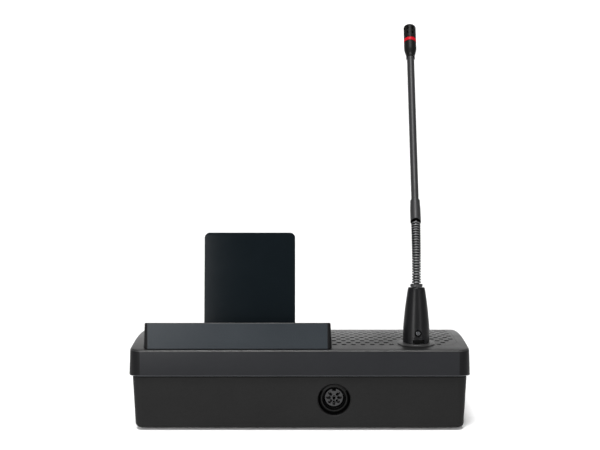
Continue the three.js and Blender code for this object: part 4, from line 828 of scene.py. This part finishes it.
# Keys
def keys():
    top = -COVER_WALL - GAP
    low = top - KEY_FLANGE_HIGH
    end = KEY_TRAVEL + GAP - BOARD_DROP
    width, depth = KEY_WIDTH + 2 * KEY_FLANGE, KEY_DEPTH + 2 * KEY_FLANGE
    for i, place in enumerate(KEY_FRAMES):
        name = f"vote_cap_{i + 1}"
        cap = slab(KEY_WIDTH, KEY_DEPTH, KEY_RADIUS, low, KEY_PROUD, place, name, edge=KEY_EDGE)
        flange = slab(width, depth, KEY_RADIUS + KEY_FLANGE, low - FLANGE_OVERLAP, top, place)
        stalk = rod(PLUNGER, end, low + STALK_OVERLAP, place, SMALL)
        cut(cap, [flange, stalk], "UNION")
        finish(cap, key_plastic, "key_plastic", f"vote_key_{i + 1}", body=f"vote_key_{i + 1}")
    inner, outer = TALK_RADIUS + GAP, TALK_RADIUS + GAP + TALK_RING
    ring = turned("talk_light_ring", [
        (low, inner), (low, outer + TALK_FLANGE), (top, outer + TALK_FLANGE), (top, outer), (0, outer),
        (TALK_RING_STEP, outer - SMALL_BREAK), (TALK_RING_PROUD, outer - TALK_RING_PROUD),
        (TALK_RING_PROUD, inner + TALK_RING_STEP), (TALK_RING_STEP, inner), (low, inner),
    ], TALK_FRAME, FINE)
    finish(ring, frosted, "clear_plastic", "talk_ring")
    flange_top = low - GAP
    flange_low = flange_top - KEY_FLANGE_HIGH
    profile = [
        (end, 0), (end, PLUNGER), (flange_low, PLUNGER), (flange_low, TALK_RADIUS + KEY_FLANGE),
        (flange_top, TALK_RADIUS + KEY_FLANGE), (flange_top, TALK_RADIUS),
    ] + rounding(TALK_PROUD, TALK_RADIUS, KEY_EDGE, KEY_STEPS)
    for t in sweep(KEY_STEPS, 1)[1:]:
        drop = TALK_DISH * sin(t * QUARTER) ** 2
        profile.append((TALK_PROUD - drop, TALK_RADIUS * (DISH_OUTER - DISH_FALL * t)))
    profile.append((TALK_PROUD - TALK_DISH, 0))
    key = turned("talk_cap", profile, TALK_FRAME, FINE)
    finish(key, key_plastic, "key_plastic", "talk_key", body="talk_key")


# Microphone
def socket():
    low, rise = GAP + BREAK, PAD_PROUD - GAP - BREAK
    profile = [
        (-BARREL_LENGTH, 0), (-BARREL_LENGTH, BARREL_RADIUS), (GAP, BARREL_RADIUS),
        (GAP, PAD_RADIUS - SMALL_BREAK), (low - SMALL_BREAK, PAD_RADIUS), (low, PAD_RADIUS - PAD_IN),
    ]
    for a in reversed(sweep(PAD_STEPS)):
        profile.append((PAD_PROUD - rise * sin(a), BOOT_FOOT + rise * (PAD_FILLET - cos(a))))
    profile.append((PAD_PROUD, 0))
    pad = turned("neck_pad", profile, SOCKET_FRAME, FINE)
    # The pad gets the lighter copy of the plastic: painted light
    finish(pad, pad_painted_light, "cover_plastic", "mic_socket")


def boot():
    profile = [(-PAST, 0), (-PAST, BOOT_FOOT)]
    for t in sweep(BOOT_ROWS, BOOT_TAPER[-1][0]):
        profile.append((t * BOOT_LENGTH, BOOT_TOP + (BOOT_FOOT - BOOT_TOP) * smooth(BOOT_TAPER, t)))
    profile += crown(BOOT_LENGTH, BOOT_TOP, BOOT_CROWN) + [(BOOT_LENGTH, 0)]
    shape = on_neck("boot_moulding", profile, FINE)
    low, high, proud = LIP_LOW, LIP_LOW + LIP_HIGH, BOOT_FOOT + LIP_PROUD
    lip = on_neck("tool", [
        (low, 0), (low, proud - LIP_EDGE), (low + LIP_EDGE, proud), (high - LIP_FADE, proud),
        (high, BOOT_FOOT - LIP_EDGE), (high, 0),
    ], FINE)
    rear = BOOT_FRAME @ move(SCREW_X, -BOOT_FOOT, 0)
    sector = block(LATCH_WIDTH + LIP_ENDS, BOOT_FOOT, 6 * LIP_HIGH, rear @ move(0, 0, LATCH_HEIGHT))
    cut(lip, [sector], "INTERSECT")
    cut(shape, [lip], "UNION")
    below = block(4 * BOOT_FOOT, 4 * BOOT_FOOT, 2 * PAST, BOOT_FRAME @ move(0, 0, GAP - PAST))
    screw_frame = neck_at(SCREW_RISE) @ move(SCREW_X, -BOOT_FOOT, 0) @ turn(QUARTER, "X")
    hole = turned("tool", [
        (-SCREW_DEEP, 0), (-SCREW_DEEP, SCREW_HOLE), (-FLARE, SCREW_HOLE), (FLARE_PROUD, SCREW_HOLE + FLARE),
        (PAST, SCREW_HOLE + FLARE), (PAST, 0),
    ], screw_frame, SMALL)
    notch = block(LATCH_WIDTH, 2 * LATCH_DEPTH, 2 * (LATCH_HEIGHT + GAP), rear)
    cut(shape, [below, hole, notch])
    finish(shape, boot_plastic, "black_plastic", "mic_boot")
    low = GAP - SCREW_DEEP
    profile = [(low, 0), (low, SCREW_RADIUS)] + rounding(-SCREW_SUNK, SCREW_RADIUS, SCREW_EDGE, SCREW_STEPS)
    profile.append((-SCREW_SUNK, 0))
    screw = turned("boot_screw_head", profile, screw_frame, SMALL)
    slots = []
    for angle in (CROSS_TURN, CROSS_TURN + QUARTER):
        place = screw_frame @ turn(angle, "Z") @ move(0, 0, -SCREW_SUNK)
        slots.append(block(CROSS_WIDTH, CROSS_LENGTH, CROSS_HEIGHT, place))
    cut(screw, slots)
    finish(screw, dark_steel, "steel", "boot_screw")
    width, height, depth = LATCH_WIDTH - 2 * GAP, LATCH_HEIGHT - GAP, LATCH_DEPTH - GAP - LATCH_SUNK
    place = rear @ move(0, LATCH_SUNK + depth / 2, 1.5 * GAP + height / 2)
    latch = block(width, depth, height, place, "latch_tab")
    soften(latch, LATCH_EDGE)
    # The latch is painted near-black: painted shade in the notch
    finish(latch, painted_shade_black, "black_plastic", "boot_latch")


def ball(face):
    """The profile of the ball that stands on a link's face, about the hinge in the gap above it."""
    centre = face + LINK_GAP / 2
    first = asin(LINK_GAP / 2 / BALL_RADIUS)
    angles = [a - first for a in sweep(BALL_STEPS, QUARTER + first)]
    points = [(centre + BALL_RADIUS * sin(a), BALL_RADIUS * cos(a)) for a in angles]
    return points[:-1] + [(centre + BALL_RADIUS, 0)]


def neck():
    low, high = COLLAR_START, COLLAR_START + COLLAR_LENGTH
    profile = [(low, 0), (low, COLLAR_RADIUS - COLLAR_EDGE), (low + COLLAR_EDGE, COLLAR_RADIUS)]
    profile += crown(high, COLLAR_RADIUS, COLLAR_CROWN) + ball(high)
    finish(on_neck("neck_collar", profile), neck_metal, "black_metal", "boot_collar")
    pitch = FLEX_LENGTH / LINKS
    rib = pitch / RIBS
    middle = (FLEX_GROOVE + FLEX_RADIUS) / 2
    for i in range(LINKS):
        low, high = FLEX_START + i * pitch, FLEX_START + i * pitch + pitch - LINK_GAP
        profile = [(low + SOCKET_DEPTH, 0), (low + SOCKET_DEPTH, SOCKET_RADIUS), (low, SOCKET_RADIUS)]
        for k in range(RIBS):
            for a in sweep(RIB_STEPS, pi):
                rise = (FLEX_RADIUS - FLEX_GROOVE) * sin(a) ** RIB_FULLNESS
                profile.append((low + k * rib + (rib - LINK_GAP) * (1 - cos(a)) / 2, FLEX_GROOVE + rise))
        profile = profile[:-1] + [(high, FLEX_GROOVE)] + ball(high)
        link = on_neck(f"rib_link_{i + 1}", profile, LINK_SIDES)
        finish(link, rib_metal, "black_metal", f"flex_link_{i + 1}", body=f"neck_link_{i + 1}")
        # The grooves between ribs are painted near-black: painted shade
        banded(link, profile, painted_shade_black, lambda first, last: max(first[1], last[1]) < middle)
    low, high, inner = FLEX_END, FLEX_END + FERRULE_LENGTH, FERRULE_RADIUS - MOUTH_WALL
    deep = low + SOCKET_DEPTH
    profile = [
        (deep, 0), (deep, SOCKET_RADIUS), (low + MOUTH, SOCKET_RADIUS), (low + MOUTH, inner), (low, inner),
        (low, FERRULE_RADIUS - SMALL_BREAK), (low + SMALL_BREAK, FERRULE_RADIUS),
    ]
    for t in sweep(FERRULE_STEPS, 1):
        radius = FERRULE_RADIUS - (FERRULE_RADIUS - FERRULE_TOP) * ease(t)
        profile.append((low + FERRULE_LENGTH * (FERRULE_STRAIGHT + FERRULE_FALL * t), radius))
    profile += crown(high, FERRULE_TOP)
    profile += [(high, FERRULE_BORE), (high - STEM_SPIGOT, FERRULE_BORE), (high - STEM_SPIGOT, 0)]
    sleeve = on_neck("neck_ferrule", profile)
    slant(sleeve, low, SLANT_REACH)
    finish(sleeve, neck_metal, "black_metal", "ferrule", body="head")
    # The inside of the sleeve's mouth is painted near-black: painted shade
    banded(sleeve, profile, painted_shade_black, lambda first, last: first[0] <= deep and last[1] <= inner)


def head():
    foot, mouth = STEM_START - STEM_SPIGOT + GAP, HEAD_START + MOUTH
    tube = on_neck("stem_tube", [
        (foot, 0), (foot, SPIGOT_RADIUS), (STEM_START, SPIGOT_RADIUS), (STEM_START, STEM_RADIUS),
        (mouth - GAP, STEM_TOP), (mouth - GAP, 0),
    ])
    finish(tube, neck_metal, "black_metal", "stem", body="head")
    inner = HEAD_FOOT - MOUTH_WALL
    profile = [
        (mouth, 0), (mouth, inner), (HEAD_START, inner), (HEAD_START, HEAD_FOOT - HEAD_BREAK),
        (HEAD_START + SMALL_BREAK, HEAD_FOOT), (HEAD_START + HEAD_BAND, HEAD_FOOT),
    ]
    for t in sweep(HEAD_STEPS, 1)[1:]:
        rise = max(0, (t - HEAD_STRAIGHT) / (1 - HEAD_STRAIGHT))
        height = HEAD_START + HEAD_BAND + (HEAD_TAPER - HEAD_BAND) * t
        profile.append((height, HEAD_FOOT + (HEAD_RADIUS - HEAD_FOOT) * ease(rise)))
    top, carrier, carrier_top = HEAD_START + HEAD_LOWER, RING_BORE - GAP, CAP_START + CAP_WALL + GAP
    profile += crown(top, HEAD_RADIUS) + [(top, carrier), (carrier_top, carrier), (carrier_top, 0)]
    shell = on_neck("head_shell", profile)
    slant(shell, HEAD_START, SLANT_REACH)
    finish(shell, head_metal, "black_metal", "head_housing", body="head")
    # The inside of the head's mouth is painted near-black: painted shade
    banded(shell, profile, painted_shade_black, lambda first, last: last[0] <= mouth and last[1] <= inner)
    low, high, out = RING_START, RING_START + RING_LENGTH, HEAD_RADIUS + RING_PROUD
    ring = on_neck("head_light", [
        (low, RING_BORE), (low, out - RING_EDGE), (low + RING_EDGE, out), (high - RING_EDGE, out),
        (high, out - RING_EDGE), (high, RING_BORE), (low, RING_BORE),
    ])
    finish(ring, ring_red, "light_ring_red", "light_ring", body="head")
    low, top, inner = CAP_START, CAP_START + CAP_LENGTH, HEAD_RADIUS - CAP_WALL
    profile = [
        (top - CAP_WALL, 0), (top - CAP_WALL, inner), (low, inner), (low, HEAD_RADIUS - BREAK),
        (low + BREAK, HEAD_RADIUS),
    ] + rounding(top, HEAD_RADIUS, CAP_EDGE, CAP_STEPS) + [(top, 0)]
    cap = on_neck("head_cap", profile, FINE)
    tools = []
    high, wide, corner = CAP_SLOT_HEIGHT, CAP_SLOT_WIDTH, CAP_SLOT_WIDTH * CAP_SLOT_ROUND
    for i in range(CAP_SLOTS):
        for rise in (-0.5, 0.5):
            place = neck_at(CAP_START + CAP_LENGTH / 2 + rise * CAP_SLOT_PITCH)
            place = place @ turn((i + 0.5) / CAP_SLOTS * 2 * pi, "Z") @ turn(QUARTER, "Y")
            tools.append(slab(high, wide, corner, CAP_SLOT_FROM, PAST, place, steps=CAP_SLOT_STEPS))
    cut(cap, [joined(tools)])
    finish(cap, head_metal, "black_metal", "head_grille", body="head")
    low = CAP_START + CAP_WALL + 2 * GAP
    high, narrow = low + CAPSULE_LENGTH, CAPSULE_RADIUS - CAPSULE_EDGE
    capsule = on_neck("capsule_can", [
        (low, 0), (low, narrow), (low + CAPSULE_EDGE, CAPSULE_RADIUS), (high - CAPSULE_EDGE, CAPSULE_RADIUS),
        (high, narrow), (high, 0),
    ], SMALL)
    finish(capsule, dark_steel, "steel", "mic_capsule", body="head")


def feet():
    top = FOOT_RECESS - GAP
    low = top - FOOT_HIGH
    edge = [(low + up, FOOT_RADIUS - inside) for up, inside in FOOT_EDGE]
    profile = [(low, 0)] + edge + [(top, FOOT_RADIUS), (top, 0)]
    for i, place in enumerate(FOOT_FRAMES):
        foot = turned(f"foot_pad_{i + 1}", profile, place, FOOT_SIDES)
        finish(foot, rubber, "rubber", f"foot_{i + 1}")


for part in (
    top_cover, bottom_shell, tower, grille, window, card, connector, keys, socket, boot, neck, head, feet,
):
    part()

# CAD nodes that stay, with their own materials
KEPT = [
    (board, ["display_module", "key_board", "main_board"]),
    (dark_plastic, ["card_reader"]),
    (dark_steel, ["speaker_frame"]),
    (paper, ["speaker_cone"]),
    (steel, ["mic_socket_nut"] + [f"{place}_screw_{i}" for place in ("case", "board") for i in range(1, 5)]),
]
for material, nodes in KEPT:
    for node in nodes:
        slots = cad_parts[node].data.materials
        slots.clear()
        slots.append(material)

# Floor, light and camera, in metres
FLOOR, FLOOR_WHITE = 80, 0.93
BEHIND, AROUND, ZENITH, HORIZON = 1.3, 0.2, 0.3, 1.1  # brightness of the surroundings by direction
AIM = Vector((0, -0.05, 0.05))
CAMERA_PLACE, CAMERA_DOWN, LENS, SENSOR = (0.0002, -0.8087, 0.2262), 8, 78, 36

corners = [(-FLOOR, -FLOOR, 0), (FLOOR, -FLOOR, 0), (FLOOR, FLOOR, 0), (-FLOOR, FLOOR, 0)]
floor = built("floor", corners, [(0, 1, 2, 3)])
white = [FLOOR_WHITE] * 3
paint = shader("floor_paint", white, 0.9, spread=0.003, grain=400, bump=0.02, patch=3, rough_spread=0.02)
floor.data.materials.append(paint)

scene.world = bpy.data.worlds.new("studio")
scene.world.use_nodes = True
sky = scene.world.node_tree
wire = sky.links.new
background = sky.nodes["Background"]
put(background, Color=(1, 1, 1, 1))
direction = sky.nodes.new("ShaderNodeTexCoord")
axes = sky.nodes.new("ShaderNodeSeparateXYZ")
wire(direction.outputs["Generated"], axes.inputs["Vector"])


def fade(axis, first, last, before, after):
    """A brightness that goes from before to after while the direction's axis goes from first to last."""
    node = sky.nodes.new("ShaderNodeMapRange")
    node.interpolation_type = "SMOOTHSTEP"
    put(node, From_Min=first, From_Max=last, To_Min=before, To_Max=after)
    wire(axes.outputs[axis], node.inputs["Value"])
    return node


across = fade("Y", 0.45, 0.93, AROUND, BEHIND)
up = fade("Z", 0.14, 0.4, AROUND, ZENITH)
level = fade("Z", 0.03, 0.07, HORIZON, 0)
wire(across.outputs["Result"], up.inputs["To Min"])
brighter = sky.nodes.new("ShaderNodeMath")
brighter.operation = "MAXIMUM"
wire(up.outputs["Result"], brighter.inputs[0])
wire(level.outputs["Result"], brighter.inputs[1])
wire(brighter.outputs["Value"], background.inputs["Strength"])


def lamp(name, place, size, power):
    light = bpy.data.lights.new(name, "AREA")
    light.shape = "RECTANGLE"
    light.size, light.size_y = size
    light.energy = power
    thing = placed(name, light)
    thing.location = place
    thing.rotation_euler = (AIM - Vector(place)).to_track_quat("-Z", "Y").to_euler()


def sun(name, azimuth, elevation, width, strength):
    """A wide soft light, azimuth degrees left of the camera."""
    light = bpy.data.lights.new(name, "SUN")
    light.energy = strength
    light.angle = radians(width)
    a, e = radians(azimuth), radians(elevation)
    towards = Vector((-sin(a) * cos(e), -cos(a) * cos(e), sin(e)))
    placed(name, light).rotation_euler = towards.to_track_quat("Z", "Y").to_euler()


sun("overhead", azimuth=8, elevation=68, width=18, strength=3.2)
lamp("left_strip", place=(-0.45, -0.92, 0.29), size=(0.22, 0.56), power=8)
lamp("right_strip", place=(0.56, -0.84, 0.29), size=(0.16, 0.56), power=2.4)

camera = placed("camera", bpy.data.cameras.new("camera"))
camera.data.lens = LENS
camera.data.sensor_width = SENSOR
camera.location = CAMERA_PLACE
camera.rotation_euler = (radians(90 - CAMERA_DOWN), 0, 0)
scene.camera = camera

scene.view_settings.view_transform = "Standard"
